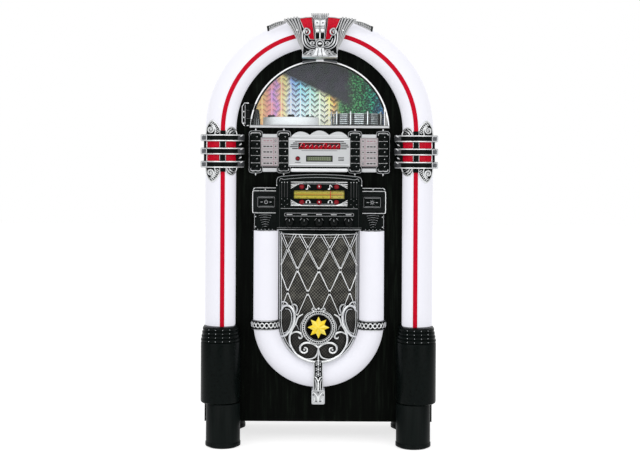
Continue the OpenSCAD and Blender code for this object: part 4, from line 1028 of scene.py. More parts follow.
def crest_half(bm, side):
    """Flutes, window frame, acanthus bands and feather on one side of the crest."""
    # Flutes that fan out to the shoulder, each ending in a bead
    inner = [(39, 958), (41.5, 975), (43.5, 990), (45, 1005), (48.5, 1020), (55, 1039)]
    outer = [(41.5, 958), (49.5, 975), (56.5, 990), (63.5, 1005), (72, 1019.5), (84.5, 1034.5)]
    for i in range(5):
        t, y = i / 4, -139.5 + 0.7 * i
        run = [(a + (c - a) * t, b + (d - b) * t) for (a, b), (c, d) in zip(inner, outer)]
        wire(bm, upright(run, y, side), 2.4, (0.3, 0.45, 0.6, 0.75, 0.9, 1), sides=3, mat=3)
        bead(bm, (side * run[-1][0], y, run[-1][1]), 2.9, (1, 1, 0.9 + 0.3 * (i % 2)), mat=3)
    hoop(bm, mirrored(CREST_WINDOW, side), -143, 1.1)
    # Acanthus bands that sweep up into the volute, and a small scroll beside the flower
    sweep = [(9, 961), (24, 963), (37, 972), (42, 988), (41, 1003), (34.5, 1012.5)]
    sweep += spiral(32.5, 1004, 9, 3, 80, 1.2, 18)
    wire(bm, upright(sweep, -145.5, side), 2.1, (0.6, 1, 1.1, 1, 0.8, 0.6), sides=3)
    sprays(bm, [
        ([(10, 966), (22, 968.5), (32, 976), (36.5, 988), (36.5, 997)], -144.5, 2.2, (0.6, 1.1, 1, 0.5), 0),
        ([(12, 971.5), (20, 974), (27.5, 980), (31, 989)], -144, 1.9, (0.6, 1.1, 0.5), 0),
        ([(7, 968)] + spiral(17.5, 977, 6, 1.4, 250, 1.3, 16), -147, 1.8, (0.7, 1.1, 0.6), 0)], side)
    bead(bm, (side * 32.5, -146, 1004), 2.2, mat=2)
    bead(bm, (side * 55.5, -141.5, 1009), 3.0, (1, 0.8, 1), mat=2)
    # Feather that lies out over the arch, with dark barbs across it
    drops = ((84, 2), (97, 3), (110, 3.7), (125, 4))
    for i, mat in enumerate((3, 3, 0)):
        run = [(x - 0.8 * i, feather_top(x) - i * drop) for x, drop in drops]
        wire(bm, upright(run, -134 + abs(i - 1), side), 2.3, (0.6, 1, 1, 0.9), sides=3, mat=mat)
    for i in range(7):
        x = 90 + 5.2 * i
        z = feather_top(x) + 1.2
        barb = [(x, z), (x + 3, z - 4.4), (x + 2.6, z - 9)]
        wire(bm, upright(barb, -136.2, side), 0.6, (0.6, 1.1, 0.5), mat=1)
    tip = [(122.5, 1007), (126.5, 1006), (128.5, 1018.5), (124, 1020)]
    prism(bm, mirrored(tip, side), -136.8, -131.5, width=1.0, mat=1)


def crest_column(bm):
    """Flat upright with two eyes, two sunk panels and a flared fringe on top."""
    shaft = [(-11.6, 984), (11.6, 984), (13.2, 1012), (16.2, 1037), (-16.2, 1037), (-13.2, 1012)]
    prism(bm, shaft, -146, -137, width=1.8)
    prism(bm, [(-16.2, 1036), (16.2, 1036), (20.2, 1044.5), (-20.2, 1044.5)], -146.6, -139, width=0.9)
    for i in range(-4, 5):
        fringe = [(i * 3.6, -146.8, 1036), (i * 4.8, -147.4, 1044), (i * 5, -146.6, 1048.4)]
        wire(bm, fringe, 1.9, (0.6, 1, 0.8))
    for side in (-1, 1):
        bead(bm, (side * 6.2, -147.4, 1008.5), 5.0, (0.95, 0.5, 1.05), mat=2)
        bead(bm, (side * 7, -146.4, 1026), 1.5, (1.5, 0.4, 1), mat=1)
        wire(bm, [(side * 11, -146.4, 988), (side * 12, -146.6, 1012), (side * 14.6, -146.4, 1034)], 1.2)
        block(bm, sorted((side * 1.6, side * 11.2)), (-146.6, -144), (987.5, 1002), 0.4, 1)
    block(bm, (-0.5, 0.5), (-146.5, -144), (1012, 1034), 0.2, 1)
    wire(bm, [(0, -147, 988), (0, -147, 1002)], 1.5, mat=2)
    for z in (1018.5, 1034.5):
        wire(bm, [(-12.5, -146.3, z), (0, -146.8, z - 0.6), (12.5, -146.3, z)], 0.8)


def crest_foot(bm):
    """Round flower, the bell that flares below it and a leaf in each corner."""
    turned(bm, [(6.6, -147), (7.2, -148.6), (8.8, -149.2), (10.2, -148.2), (10.6, -145), (6.6, -145)],
           (0, 975.5), "Y", 32)
    bead(bm, (0, -147, 975.5), 5.0, (1.1, 0.6, 0.8), mat=2)
    wire(bm, [(-4.6, -149.4, 974), (0, -150, 972.6), (4.6, -149.4, 974)], 0.7, mat=1)
    wire(bm, upright(arc(0, 975, 12.4, 25, 155, 9), -146), 1.5, (0.6, 1.1, 0.6))
    bell = [(-9.5, 966.5), (9.5, 966.5), (11.5, 957), (15.5, 950.5), (22, 944.4)]
    prism(bm, bell + mirrored(reversed(bell[2:]), -1), -149.2, -142, width=1.2)
    for side in (-1, 1):
        wire(bm, [(side * 4, -149.2, 964), (side * 4.6, -149.6, 956), (side * 6, -149.2, 946)], 0.7, mat=1)
        corner = [(21, 951), (41.4, 951), (40.4, 962), (25, 962)]
        prism(bm, mirrored(corner, side), -146.9, -145, width=0.4, mat=1)
        for points, radius in (([(40, 947.4), (31, 949), (24, 955.5), (16, 957.5)], 2.3),
                               ([(33, 957.5), (27, 956), (22, 960), (16, 963)], 1.8),
                               ([(38, 952), (33, 953.5), (29, 957.5)], 1.2)):
            wire(bm, upright(points, -147.6, side), radius, (0.5, 1.15, 0.6))
        bead(bm, (side * 24.5, -148.2, 949.2), 2.0)


class JUKEBOX_OT_crest(bpy.types.Operator):
    """Model the chrome crest on top of the arch"""
    bl_idname = "jukebox.crest"
    bl_label = "Crest"

    def execute(self, context):
        bm = bmesh.new()
        fan = [(-42, 950), (42, 950), (44, 966), (53, 985), (62, 1005), (73, 1021), (84, 1035.5), (54, 1039)]
        prism(bm, fan + mirrored(reversed(fan[2:]), -1), -136.5, -124, width=1.2, mat=1)
        prism(bm, [(-43, 943), (43, 943), (42, 962), (-42, 962)], -146, PANEL, width=1.6)
        for side in (-1, 1):
            crest_half(bm, side)
        crest_column(bm)
        crest_foot(bm)
        piece("crest_casting", bm, CASTING + ["antique_silver"], "crest")
        return {"FINISHED"}


def half_column(bm, x, y, profile):
    """A profile turned half round an upright axis and run straight back to the panel."""
    part = bmesh.new()
    verts, edges = chain(part, [(x + r, y, z) for r, z in profile])
    made = bmesh.ops.spin(part, geom=verts + edges, cent=(x, y, 0), axis=(0, 0, -1),
                          angle=math.pi, steps=40, use_duplicate=False)
    for line in (edges, only("Edge", made["geom_last"])):
        grown = bmesh.ops.extrude_edge_only(part, edges=line)["geom"]
        bmesh.ops.translate(part, vec=(0, PANEL - y, 0), verts=only("Vert", grown))
    for level in (profile[0][1], profile[-1][1]):
        rim = [v for v in part.verts if abs(v.co.z - level) < 0.01]
        rim.sort(key=lambda v: math.atan2(v.co.y - (y - 4), v.co.x - x))
        part.faces.new(rim)
    back = [v for v in part.verts if abs(v.co.y - PANEL) < 0.01]
    right = sorted((v for v in back if v.co.x > x), key=lambda v: v.co.z)
    left = sorted((v for v in back if v.co.x < x), key=lambda v: -v.co.z)
    part.faces.new(right + left)
    bmesh.ops.recalc_face_normals(part, faces=part.faces[:])
    merge(bm, part)


class JUKEBOX_OT_pedestals(bpy.types.Operator):
    """Model the pedestals, the legs and their pads"""
    bl_idname = "jukebox.pedestals"
    bl_label = "Pedestals and legs"

    def execute(self, context):
        full, foot = PEDESTAL_R, corners("pedestals")[0].z
        collar, ribs, rib_h, step_in = PEDESTAL_TOP - 36, 4, 9.0, 1.5
        profile = [(full - 7, foot), (full - 3.4, foot + 0.7), (full - 0.8, foot + 2.8), (full, foot + 6),
                   (full, collar - 4), (full - 0.5, collar - 1.8), (full - 1.8, collar - 0.6),
                   (full - 3.4, collar - 0.2)]
        for i in range(ribs):
            r, z = full - step_in * i, collar + rib_h * i
            profile += [(r - 2.6, z + 0.3), (r - 0.7, z + 0.7), (r, z + 2.2), (r, z + 5.2),
                        (r - 0.7, z + 6.8), (r - 2.6, z + 7.2)]
        profile += [(full - 8, PEDESTAL_TOP - 0.6), (full - 9.5, PEDESTAL_TOP)]
        bm = bmesh.new()
        half_column(bm, PEDESTAL_X, PEDESTAL_Y, profile)
        stud = context.scene.jukebox_sizes.stud_radius / MM * 0.62
        for i in range(ribs):
            r, z = full - step_in * i, collar + rib_h * i + 3.7
            for x in (-25, -8.5, 8.5, 25):
                bead(bm, (PEDESTAL_X + x, PEDESTAL_Y - math.sqrt(r * r - x * x), z), stud, mat=1, fine=6)
        both_sides(bm)
        piece("pedestal_mouldings", bm, ["gloss_black_abs", "zinc_plate"], "pedestals")
        bm = bmesh.new()
        low = corners("legs")[0].z
        for y, top in ((LEG_FRONT, foot), (LEG_REAR, corners("base_board")[0].z)):
            turned(bm, [(0, low), (FLANGE_R - 1, low), (FLANGE_R, low + 0.8), (FLANGE_R, low + 8.8),
                        (FLANGE_R - 0.6, low + 9.8), (LEG_R, low + 10.2), (LEG_R, top - 1.2),
                        (LEG_R - 0.8, top), (0, top)], (LEG_X, y), steps=72)
        both_sides(bm)
        piece("turned_legs", bm, "black_lacquer", "legs")
        bm = bmesh.new()
        for y in (LEG_FRONT, LEG_REAR):
            turned(bm, [(0, 0), (35.3, 0), (36.5, 1), (36.5, low), (0, low)], (LEG_X, y))
        both_sides(bm)
        piece("rubber_pads", bm, "black_rubber", "foot_pads")
        return {"FINISHED"}


HINGE = (-176.5, -78)  # hinge axis of the window door, in plan


def knuckle(bm, low, high, mat=0):
    """One sleeve of the hinge."""
    turned(bm, [(2.7, low), (5.6, low), (6, low + 0.5), (6, high - 0.5), (5.6, high), (2.7, high),
                (2.7, low)], HINGE, steps=28, mat=mat)


def hinge_leaf(line):
    """Black leaf on the panel, with its outline, screws, knuckle and pin."""
    bm = bmesh.new()
    plate = [(-173.5, 777.5), (-173.5, 836.5), (-185, 836.5), (-191.5, 828), (-191.5, 786), (-185, 777.5)]
    prism(bm, plate, -71.4, PANEL, width=0.5)
    ring = [(-182.5 + (x + 182.5) * 0.9, 807 + (z - 807) * 0.955) for x, z in plate]
    wire(bm, upright(ring[1:], -71.5), line, smooth=0, mat=1)
    wire(bm, [(-183.4, -71.6, 783), (-183.4, -71.6, 831)], line * 0.7, mat=1)
    knuckle(bm, 796.9, 816.9)
    turned(bm, [(0, 778.5), (2, 778.5), (2.45, 779), (2.45, 835), (2, 835.5), (0, 835.5)], HINGE, steps=20,
           mat=1)
    block(bm, (-180.5, -172.5), (-78, -70), (797.3, 816.5), 0.5)
    for z in (814, 800, 785.5):
        bead(bm, (-186.5, -71.4, z), 1.9, (1, 0.6, 1), mat=1)
    piece("hinge_leaf", bm, ["black_enamel", "mirror_plate"], "door_hinge")


class JUKEBOX_OT_window(bpy.types.Operator):
    """Model the window door, its hinge and its clear pane"""
    bl_idname = "jukebox.window"
    bl_label = "Window door"

    def execute(self, context):
        line = context.scene.jukebox_sizes.outline_radius / MM
        bm = bmesh.new()
        # Bright outer bead, a dark lip inside it and a bar along the foot
        rim = [(172, -72.3), (172, -76.6), (171.4, -78.2), (170.2, -79), (169, -78.6), (168.3, -77.4),
               (168.2, -72.3)]
        lip = [(168.4, -72.3), (168.4, -76.2), (165.9, -75.6), (165.5, -72.3)]
        bowed(bm, rim, ARCH_Z, 2.2, 177.8, 96)
        bowed(bm, lip, ARCH_Z, 2.2, 177.8, 96, mat=1)
        prism(bm, rounded(-171.6, 171.6, 774.5, 781.5, 1), -79, -72.3, width=1.2, mat=3)
        wire(bm, [(-170, -79, 780.6), (170, -79, 780.6)], 0.5, mat=1)
        # Side plate at the closing edge
        plate = [(159.6, 781), (169.8, 781), (168.8, 796), (165.5, 813), (159.6, 830)]
        prism(bm, plate, -76.6, -72.4, width=0.4, mat=1)
        wire(bm, [(159.8, -77, 781), (159.8, -77, 832)], 1.1)
        wire(bm, [(163.6, -76.8, 782), (163.6, -76.8, 815)], line * 0.8)
        # Crescent finger plate on top of the rim, with a raised tab in its middle
        crescent = arc(0, ARCH_Z, 169.2, 75.4, 104.6, 17) + arc(0, ARCH_Z - 60, 233.4, 100.6, 79.4, 17)
        prism(bm, crescent, -84, -77, width=0.8, mat=2)
        block(bm, (-9.3, 9.3), (-85.2, -80), (937.4, 942.2), 0.7)
        # Hinge knuckles and their arms
        for low in (780.5, 817.3):
            knuckle(bm, low, low + 16, 1)
            reach = math.sqrt(168.5 ** 2 - (low + 16 - ARCH_Z) ** 2)
            block(bm, (-173.5, -reach), (-78.8, -72.8), (low + 0.6, low + 15.4), 0.6, 1)
        piece("door_rim", bm, ["mirror_plate", "gloss_black_abs", "hinge_steel", "silver_paint"],
              "door_frame", "window_door")
        paint("door_pane", "clear_acrylic")
        hinge_leaf(line)
        return {"FINISHED"}


def deck_drum(z):
    """White drum with ribs in its well and black sensors on its rim, and the hub that turns."""
    at, top = middle("disc_deck"), corners("disc_deck")[1].z
    x, y, well = at.x, at.y, top - 3
    bm = bmesh.new()
    turned(bm, [(2.1, z + 4), (2.1, well), (60, well), (62.2, well + 0.6), (63, top - 1.4),
                (63.6, top - 0.4), (64.6, top), (69.4, top), (70.6, top - 0.6), (71, top - 2), (71, z + 3),
                (70, z + 1.6), (69.4, z), (0, z), (0, z + 4), (2.1, z + 4)], (x, y), steps=96)
    for r in (58, 40, 24):
        turned(bm, [(r - 0.6, well - 0.2), (r - 0.4, well + 0.2), (r, well + 0.3), (r + 0.4, well + 0.2),
                    (r + 0.6, well - 0.2), (r - 0.6, well - 0.2)], (x, y), steps=72)
    for angle, half in ((-136, 8.5), (-52, 4), (40, 6)):
        px, py = polar(x, y, 67, angle)
        block(bm, (px - half, px + half), (py - 2, py + 2), (top - 0.6, top + 4.6), 0.4, 1)
    piece("deck_drum", bm, ["white_abs", "satin_black_abs"], "disc_deck")
    low, hub = corners("spindle")[0].z, corners("spindle")[1].z + 2.2
    bm = bmesh.new()
    turned(bm, [(0, low), (1.95, low), (1.95, well + 0.3), (7.4, well + 0.3), (8, well + 0.9),
                (8, hub - 0.9), (7.2, hub), (0, hub)], (x, y), steps=36)
    for angle in (0, 120, 240):
        bead(bm, (*polar(x, y, 5.4, angle), hub - 0.8), 1.2)
    piece("spindle_hub", bm, "satin_black_abs", "spindle", "disc_spindle")


def changer_post(z):
    """Stepped black post with thin bright rods down its front, which paint its highlights."""
    at, top = middle("changer_arm"), corners("changer_arm")[1].z
    bm = bmesh.new()
    turned(bm, [(0, z), (13, z), (13, z + 2.4), (11.8, z + 3), (11.8, z + 5), (10.8, z + 5.6),
                (10.8, z + 7.4), (10.2, z + 8), (9, z + 20), (7.6, top - 12), (7, top - 6), (5.6, top - 2.6),
                (3.2, top - 0.7), (0, top - 0.2)], (at.x, at.y), steps=36)
    # Painted highlights: three thin bright rods down the post's front
    for angle in (-118, -86, -58):
        highlight_rod = [(*polar(at.x, at.y, 10.4, angle), z + 4), (*polar(at.x, at.y, 8.6, angle), z + 26)]
        wire(bm, highlight_rod, 0.8, (1, 0.5), mat=1)
    piece("changer_post", bm, ["satin_black_abs", "zinc_plate"], "changer_arm")


def spare_discs(z):
    """Layers of pale discs round a black core, kept apart by bright posts in black rails."""
    at, top = middle("disc_stack"), corners("disc_stack")[1].z
    x, y, plate, layers, pitch, posts = at.x, at.y, 70.5, 6, 4.8, 10
    bm = bmesh.new()
    turned(bm, [(0, z), (plate, z), (plate, z + 12.4), (plate - 0.6, z + 13), (0, z + 13)], (x, y), steps=96,
           mat=1)
    turned(bm, [(0, z + 4), (61.5, z + 4), (61.5, z + 39), (60, z + 39.6), (12, z + 39.6), (9, z + 40),
                (0, z + 40)], (x, y), steps=96, mat=1)
    for i in range(layers):
        low = z + 14 + i * pitch
        turned(bm, [(61, low), (65.4, low), (66, low + 0.5), (66, low + 1.9), (65.4, low + 2.4),
                    (61, low + 2.4), (61, low)], (x, y), steps=96)
    for i in range(posts):
        angle = 360 / posts * i
        turned(bm, [(0, z + 4), (1.9, z + 4), (2, z + 5), (2, top - 1.2), (1.4, top - 0.3), (0, top)],
               polar(x, y, 68.3, angle), steps=14, mat=2)
        for turn in (-6.5, -3.2, 3.2, 6.5):
            spot = polar(x, y, 66.4, angle + turn)
            wire(bm, [(*spot, z + 4), (*spot, z + 40)], 1.5, mat=1)
    piece("spare_discs", bm, ["disc_polycarbonate", "satin_black_abs", "bright_plated_abs"],
          "disc_stack")


class JUKEBOX_OT_chamber(bpy.types.Operator):
    """Model the disc deck, the changer arm, the spare discs and the foil behind them"""
    bl_idname = "jukebox.chamber"
    bl_label = "Disc chamber"

    def execute(self, context):
        paint("foil_backdrop", "holographic_foil")
        smoothed("deck_shelf", "white_abs", 0.5)
        shelf = corners("disc_deck")[0].z
        deck_drum(shelf)
        changer_post(shelf)
        spare_discs(shelf)
        return {"FINISHED"}


def key_cap(bm, x, z):
    """A key with a dished, softly rounded face and a small bright dot, a painted highlight."""
    part, face = pad((20, 21.5, 15.6), (x, -76.75, z), 1.8)
    bmesh.ops.inset_region(part, faces=[face], thickness=2.2, depth=-0.7)
    merge(bm, part)
    # Painted highlight: a flattened bright bead on the face
    bead(bm, (x + 3.6, -87, z + 1.2), 1.1, (1, 0.4, 1), mat=1, fine=6)


def column_trim(bm, x, line):
    """Outline of a column, the cups over and under its keys and the bars between them."""
    y, half, tall, fore = FRAME_Y - 0.4, 16.2, 53, FRAME_Y - 7
    for up in (1, -1):
        top = KEYS_Z + up * tall
        dip = 0 if up > 0 else 1.6
        arch = [(half, 17), (half, 7), (half - 3, 2.5), (half - 8, 1.6), (0, 1)]
        cup = [(12, 12.5), (11.2, 7.8), (6, 6.2), (0, 5.8 + dip)]
        arch, cup = [[(x + a, top - up * h) for a, h in mirrored(side, -1) + side[-2::-1]]
                     for side in (arch, cup)]
        wire(bm, upright(arch, y), line * 0.8)
        bead(bm, (x, y, top + up * 1.8), 2.2, (0.9, 1, 1.35), mat=1)
        wire(bm, [(x, y, top + up * 2), (x, y, top + up * 6)], line * 0.6)
        wire(bm, upright(cup, fore + 4), 1.3, (0.5, 1.1, 1, 1.1, 0.5), mat=1)
        block(bm, (x - 8, x + 8), (fore + 4, FRAME_Y + 1), sorted((top - up * 8.2, top - up * 6.4)), 0.4)
    for s in (-1, 1):
        wire(bm, [(x + s * half, y, KEYS_Z - tall + 17), (x + s * half, y, KEYS_Z + tall - 17)], line * 0.55)
    for a, b in zip(KEY_ROWS, KEY_ROWS[1:]):
        z = (a + b) / 2
        bar = [(0, -11), (1, -10.6), (1.15, -9.4), (0.75, -7.2), (0.7, 0), (0.75, 7.2), (1.15, 9.4),
               (1, 10.6), (0, 11)]
        turned(bm, [(r, x + h) for r, h in bar], (fore, z), "X", 10, 1)
        for s in (-1, 1):
            block(bm, sorted((x + s * 10.1, x + s * 11)), (fore, FRAME_Y + 1), (z - 0.9, z + 0.9), 0.2)


def label_cards():
    """Cards with five label rows and plain signs beside the working keys."""
    bm = bmesh.new()
    front = FRAME_Y - 4
    for side in (-1, 1):
        x = side * 122
        prism(bm, rounded(x - 22.2, x + 22.2, 679.2, 750.8, 1.2), front, FRAME_Y, width=0.5)
        prism(bm, rounded(x - 17.8, x + 17.8, 749.8, 758.8, 1.2), -79.5, PANEL, width=0.6, mat=3)
        prism(bm, rounded(x - 17.4, x + 17.4, 665.8, 675.4, 1.6), -79.5, PANEL, width=1.4, mat=3)
        block(bm, (x - 14, x + 14), (-78.5, PANEL), (674.8, 680.4), 0.4, 1)
        for z in ((749.2, 749.9), (679.9, 680.8)):
            block(bm, (x - 20.6, x + 20.6), (front - 0.4, front), z, 0.15, 1)
        inner, centre = x - side * 14.6, x + side * 5
        for i in range(5):
            z = 742.4 - i * 13.8
            hoop(bm, rounded(centre - 15.4, centre + 15.4, z - 5, z + 5, 1.4), front - 0.2, 0.42, 2, 1)
            hoop(bm, rounded(inner - 5.2, inner + 5.2, z - 5, z + 5, 1.2), front - 0.2, 0.42, 2, 1)
            card_sign(bm, inner, front - 0.1, z, i + (0 if side < 0 else 5))
            for dx, w in ((-7.5, 6), (0.5, 6.5), (8.5, 5)):
                at = centre + dx
                block(bm, (at - w / 2, at + w / 2), (front - 0.4, front + 0.1), (z - 1.4, z + 1.4), 0.15,
                      1 if i else 2)
    piece("label_cards", bm, ["pale_card", "card_ink", "rose_ink", "silver_paint"],
          "title_cards")


def card_sign(bm, x, y, z, kind):
    """A plain transport sign: triangle, square, ring or dot."""
    if kind in (2, 5, 6, 7, 8):
        r = -2.3 if kind in (6, 8) else 2.3
        prism(bm, [(x - r * 0.7, z - r), (x + r, z), (x - r * 0.7, z + r)], y - 0.3, y + 0.2, mat=1)
    elif kind == 3:
        block(bm, (x - 1.7, x + 1.7), (y - 0.3, y + 0.2), (z - 1.7, z + 1.7), 0.1, 1)
    elif kind in (0, 9):
        wire(bm, upright(arc(x, z, 2.2, 0, 330, 14), y), 0.5, mat=1)
    else:
        turned(bm, [(0, y - 0.3), (1.8, y - 0.3), (1.8, y + 0.2), (0, y + 0.2)], (x, z), "Y", 16, 1)


class JUKEBOX_OT_keys(bpy.types.Operator):
    """Model the key columns, their keys and the title cards"""
    bl_idname = "jukebox.keys"
    bl_label = "Keys"

    def execute(self, context):
        line = context.scene.jukebox_sizes.outline_radius / MM
        cap = ["gloss_black_abs", "bright_plated_abs"]
        smoothed("key_frames", "gloss_black_abs", 0.8)
        bm = bmesh.new()
        for x in COLUMNS:
            column_trim(bm, x, line)
        piece("key_frame_trim", bm, ["stamped_foil", "bright_plated_abs"])
        names = ["mode_key", "timer_key", "play_key", "stop_key", "program_key",
                 "next_key", "back_key", "track_up_key", "track_down_key", "repeat_key"]
        for i, name in enumerate(names):
            bm = bmesh.new()
            key_cap(bm, COLUMNS[1 if i < 5 else 2], KEY_ROWS[i % 5])
            piece(name + "_cap", bm, cap, name, name)
        bm = bmesh.new()
        for x in (COLUMNS[0], COLUMNS[3]):
            for z in KEY_ROWS:
                key_cap(bm, x, z)
        piece("dummy_key_caps", bm, cap, "dummy_keys")
        label_cards()
        return {"FINISHED"}


def fascia_face(bm):
    """Flat face with openings for the display and the eye left in it."""
    half, low, high = 75.6, 679.2, 750.8
    cuts_x, cuts_z = (-half, -58, -48, -31.8, 31.8, half), (low, 692.15, 705.85, high)
    for i in range(5):
        for j in range(3):
            if j != 1 or i not in (1, 3):
                block(bm, cuts_x[i:i + 2], (FACE_Y, FRAME_Y), cuts_z[j:j + 2], 0)
    # The corners round the eye's bore
    upper = [(-58, 692.15)] + arc(*EYE, 4.95, 225, 45) + [(-48, 705.85), (-58, 705.85)]
    lower = [(-58, 692.15), (-48, 692.15), (-48, 705.85)] + arc(*EYE, 4.95, 45, -135)
    for outline in (upper, lower):
        prism(bm, outline, FACE_Y, FRAME_Y)


def fascia_scallops(bm, front):
    """Three round-topped shells above the face."""
    top, count = [], 12
    for x0, x1, peak in ((-70.2, -23.7, 765.4), (-23.7, 23.7, 768), (23.7, 70.2, 765.4)):
        for i in range(count + 1):
            t = -1 + 2 * i / count
            foot = 757 if abs(x0 if t < 0 else x1) < 60 else 752.5
            top.append((x0 + (x1 - x0) * i / count, peak - (peak - foot) * t * t))
    prism(bm, [(-70.2, 749.8)] + top + [(70.2, 749.8)], front, PANEL, width=0.8)
    for z in (751.8, 755.2):
        block(bm, (-68, 68), (front - 0.4, front + 0.4), (z, z + 0.9), 0.2, 3)


def fascia_marks(bm):
    """Flat bars on the face: its edges, speed lines, the display's frame and small plain marks."""
    bands = ((681, 682, 1), (682.4, 684.4, 3), (745.6, 748.2, 3), (748.4, 749.2, 1))
    rows = [((-74, 74), (-0.5, 0.5), (low, high), 0.3, mat) for low, high, mat in bands]
    rows += [((-60, 60), (-0.5, 0.2), (740.4, 742.2), 0.2, 2), ((-44, 44), (-0.4, 0.2), (718, 719), 0.2, 1),
             ((-60, -46), (-0.3, 0.1), (688.8, 690.2), 0.1, 1)]
    for z, end in ((737, 65), (732.5, 70.5), (728, 72.5), (723.5, 67)):
        for x in ((-end, -53), (53, end)):
            rows.append((x, (-0.5, 0.2), (z - 1.1, z + 1.1), 0.2, 2))
    for x in ((-32.6, -29.8), (29.8, 32.6)):
        rows.append((x, (-0.6, 1.1), (691.5, 706.5), 0.3, 2))
    for z in ((691.5, 694.2), (703.8, 706.5)):
        rows.append(((-32.6, 32.6), (-0.6, 1.1), z, 0.3, 2))
    for z in (694, 697.4, 700.8):
        rows.append(((46.5, 60.5), (-0.35, 0.1), (z, z + 1.7), 0.1, 1))
    for x, y, z, width, mat in rows:
        block(bm, x, [FACE_Y + a for a in y], z, width, mat)


def name_ribbon():
    """A dark plate with a row of running waves, its plain ornament, each wave with a thin white line along
    it that paints its highlight.
    """
    bm = bmesh.new()
    prism(bm, rounded(-52, 52, 721.85, 738.15, 1), FACE_Y - 0.8, FACE_Y + 2, width=0.4)
    heights = (1.1, 0.7, 0.8, 0.7, 0.65, 1.1, 0.75, 0.7, 0.8)
    pitch, foot, y = 11, 723.6, FACE_Y - 1.1
    for i, tall in enumerate(heights):
        x = pitch * (i - (len(heights) - 1) / 2)
        wave = [(x + a, foot + h * tall) for a, h in ((-7, 0), (-3.4, 3.6), (-0.6, 9), (2.8, 11.6))]
        wave += spiral(x + 2.4, foot + 6.6 * tall, 5 * tall, 1.6, 80, -0.95, 14)
        # Painted highlight: a thin white line along each wave
        shine = [(x + a, foot + h * tall) for a, h in ((-2.6, 5), (-0.2, 9.4), (2.4, 11.6))]
        wire(bm, upright(wave, y - 0.3), 1.2, (0.5, 1.2, 1.2, 1, 0.6), mat=1)
        wire(bm, upright(shine, y - 1.4), 0.5, mat=2)
    for z in (722.9, 737.2):
        wire(bm, [(-50, y, z), (50, y, z)], 0.55, mat=1)
    piece("name_ribbon", bm, ["name_lacquer", "red_acrylic", "label_white"], "name_plate")


class JUKEBOX_OT_fascia(bpy.types.Operator):
    """Model the silver player fascia, its name plate and its display"""
    bl_idname = "jukebox.fascia"
    bl_label = "Player fascia"

    def execute(self, context):
        bm = bmesh.new()
        fascia_face(bm)
        fascia_scallops(bm, FACE_Y + 2)
        fascia_marks(bm)
        # Round cushion under the face, and a bezel round the eye
        prism(bm, rounded(-70.2, 70.2, 665.8, 675.4, 4), FACE_Y + 2, PANEL, width=2.4, mat=3)
        block(bm, (-64, 64), (FACE_Y + 3, PANEL), (674.6, 680.4), 0.4, 2)
        bezel = [(5, 0), (5.1, -0.8), (5.4, -0.9), (5.8, -0.6), (5.9, 0), (5, 0)]
        turned(bm, [(r, FACE_Y + y) for r, y in bezel], EYE, "Y", 32, 1)
        piece("player_face", bm, ["silver_paint", "driver_steel", "gloss_black_abs", "silver_plated_abs"],
              "player_fascia")
        name_ribbon()
        bm = bmesh.new()
        prism(bm, rounded(-31.6, 31.6, 692.3, 705.7, 0.6), FACE_Y + 1.2, FRAME_Y, width=0.2)
        for i in range(11):
            x = -27.5 + 5.5 * i
            block(bm, (x - 1.7, x + 1.7), (FACE_Y + 1, FACE_Y + 1.3), (695.6, 702.4), 0, 1)
        piece("display_glass", bm, ["display_film", "display_segment"], "lcd_glass")
        return {"FINISHED"}


def radio_crown(bm, line, stud):
    """Two thin lines over the dial, each ending low at the sides."""
    y, count = RADIO_Y - 0.2, 12
    for side_x, side_z, corner_z, top, drop, thick in ((103.8, 634, 648, 660.2, 5.2, 0.7),
                                                       (97, 644, 646, 653.2, 5.4, 0.6)):
        steps = [-1 + i / count for i in range(2 * count + 1)]
        curve = [((side_x - 10) * t, top - drop * t ** 2) for t in steps]
        ends = [(side_x, side_z), (side_x, corner_z - 2), (side_x - 3, corner_z + 4)]
        wire(bm, upright(mirrored(ends, -1) + curve + ends[::-1], y), line * thick)
    for side in (-1, 1):
        bead(bm, (side * 103.8, y, 633.4), stud * 1.1, mat=2)


def radio_wing(bm, side, line, stud):
    """Outlines of a wing, ridges round its button, and the louvres and studs below it."""
    y, even, mid = -91.2, (1, 1), 132
    loop = [(106, 619.6), (156, 619.6), (161.4, 618.2), (162.6, 613), (162.6, 572), (161.4, 567),
            (156, 565.8), (106, 565.8)]
    rows = [([(106, 627), (152, 627), (158, 626), (161.5, 622.5)], y, line * 0.9, even, 2),
            (loop, y, line, even, 2),
            ([(158.2, 527), (158.2, 563)], -88.3, line * 0.6, even, 0),
            ([(107, 522.4), (158, 522.4)], -87.2, line * 0.8, even, 0)]
    # Louvres that narrow under the wing, each with a thin bright line on top, a painted highlight
    for i in range(6):
        z, w = 559 - 5.6 * i, 19 - 2.4 * i
        louvre = [(mid + w * a, z + h) for a, h in ((-1, -2), (-0.55, 0), (0, 0.5), (0.55, 0), (1, -2))]
        edge = [(mid + w * a, z + h) for a, h in ((-0.8, 0), (0, 1.9), (0.8, 0))]
        rows += [(louvre, -88.6, 1.9, (0.6, 1, 1, 1, 0.6), 1), (edge, -89.8, line * 0.45, even, 0)]
    sprays(bm, rows, side)
    # Stepped black ridges round the button, the inner one edged in foil
    for i in range(4):
        w, h, at = 20.6 + 3.2 * i, 12.6 + 3.6 * i, side * BUTTON_X
        ring = rounded(at - w, at + w, BUTTON_Z - h, BUTTON_Z + h, 2.5)
        hoop(bm, ring, y + 0.2, line * (0.22 if i else 0.55), 3 if i else 0)
    bead(bm, (side * mid, y, 623.4), stud, mat=2)
    for x, z in ((155.4, 556.5), (155.4, 531.5)):
        bead(bm, (side * x, -88.4, z), stud, mat=2)
    for x in (114, 123, 132, 141, 150):
        bead(bm, (side * x, -88.4, 525.2), stud * 0.7, mat=2)


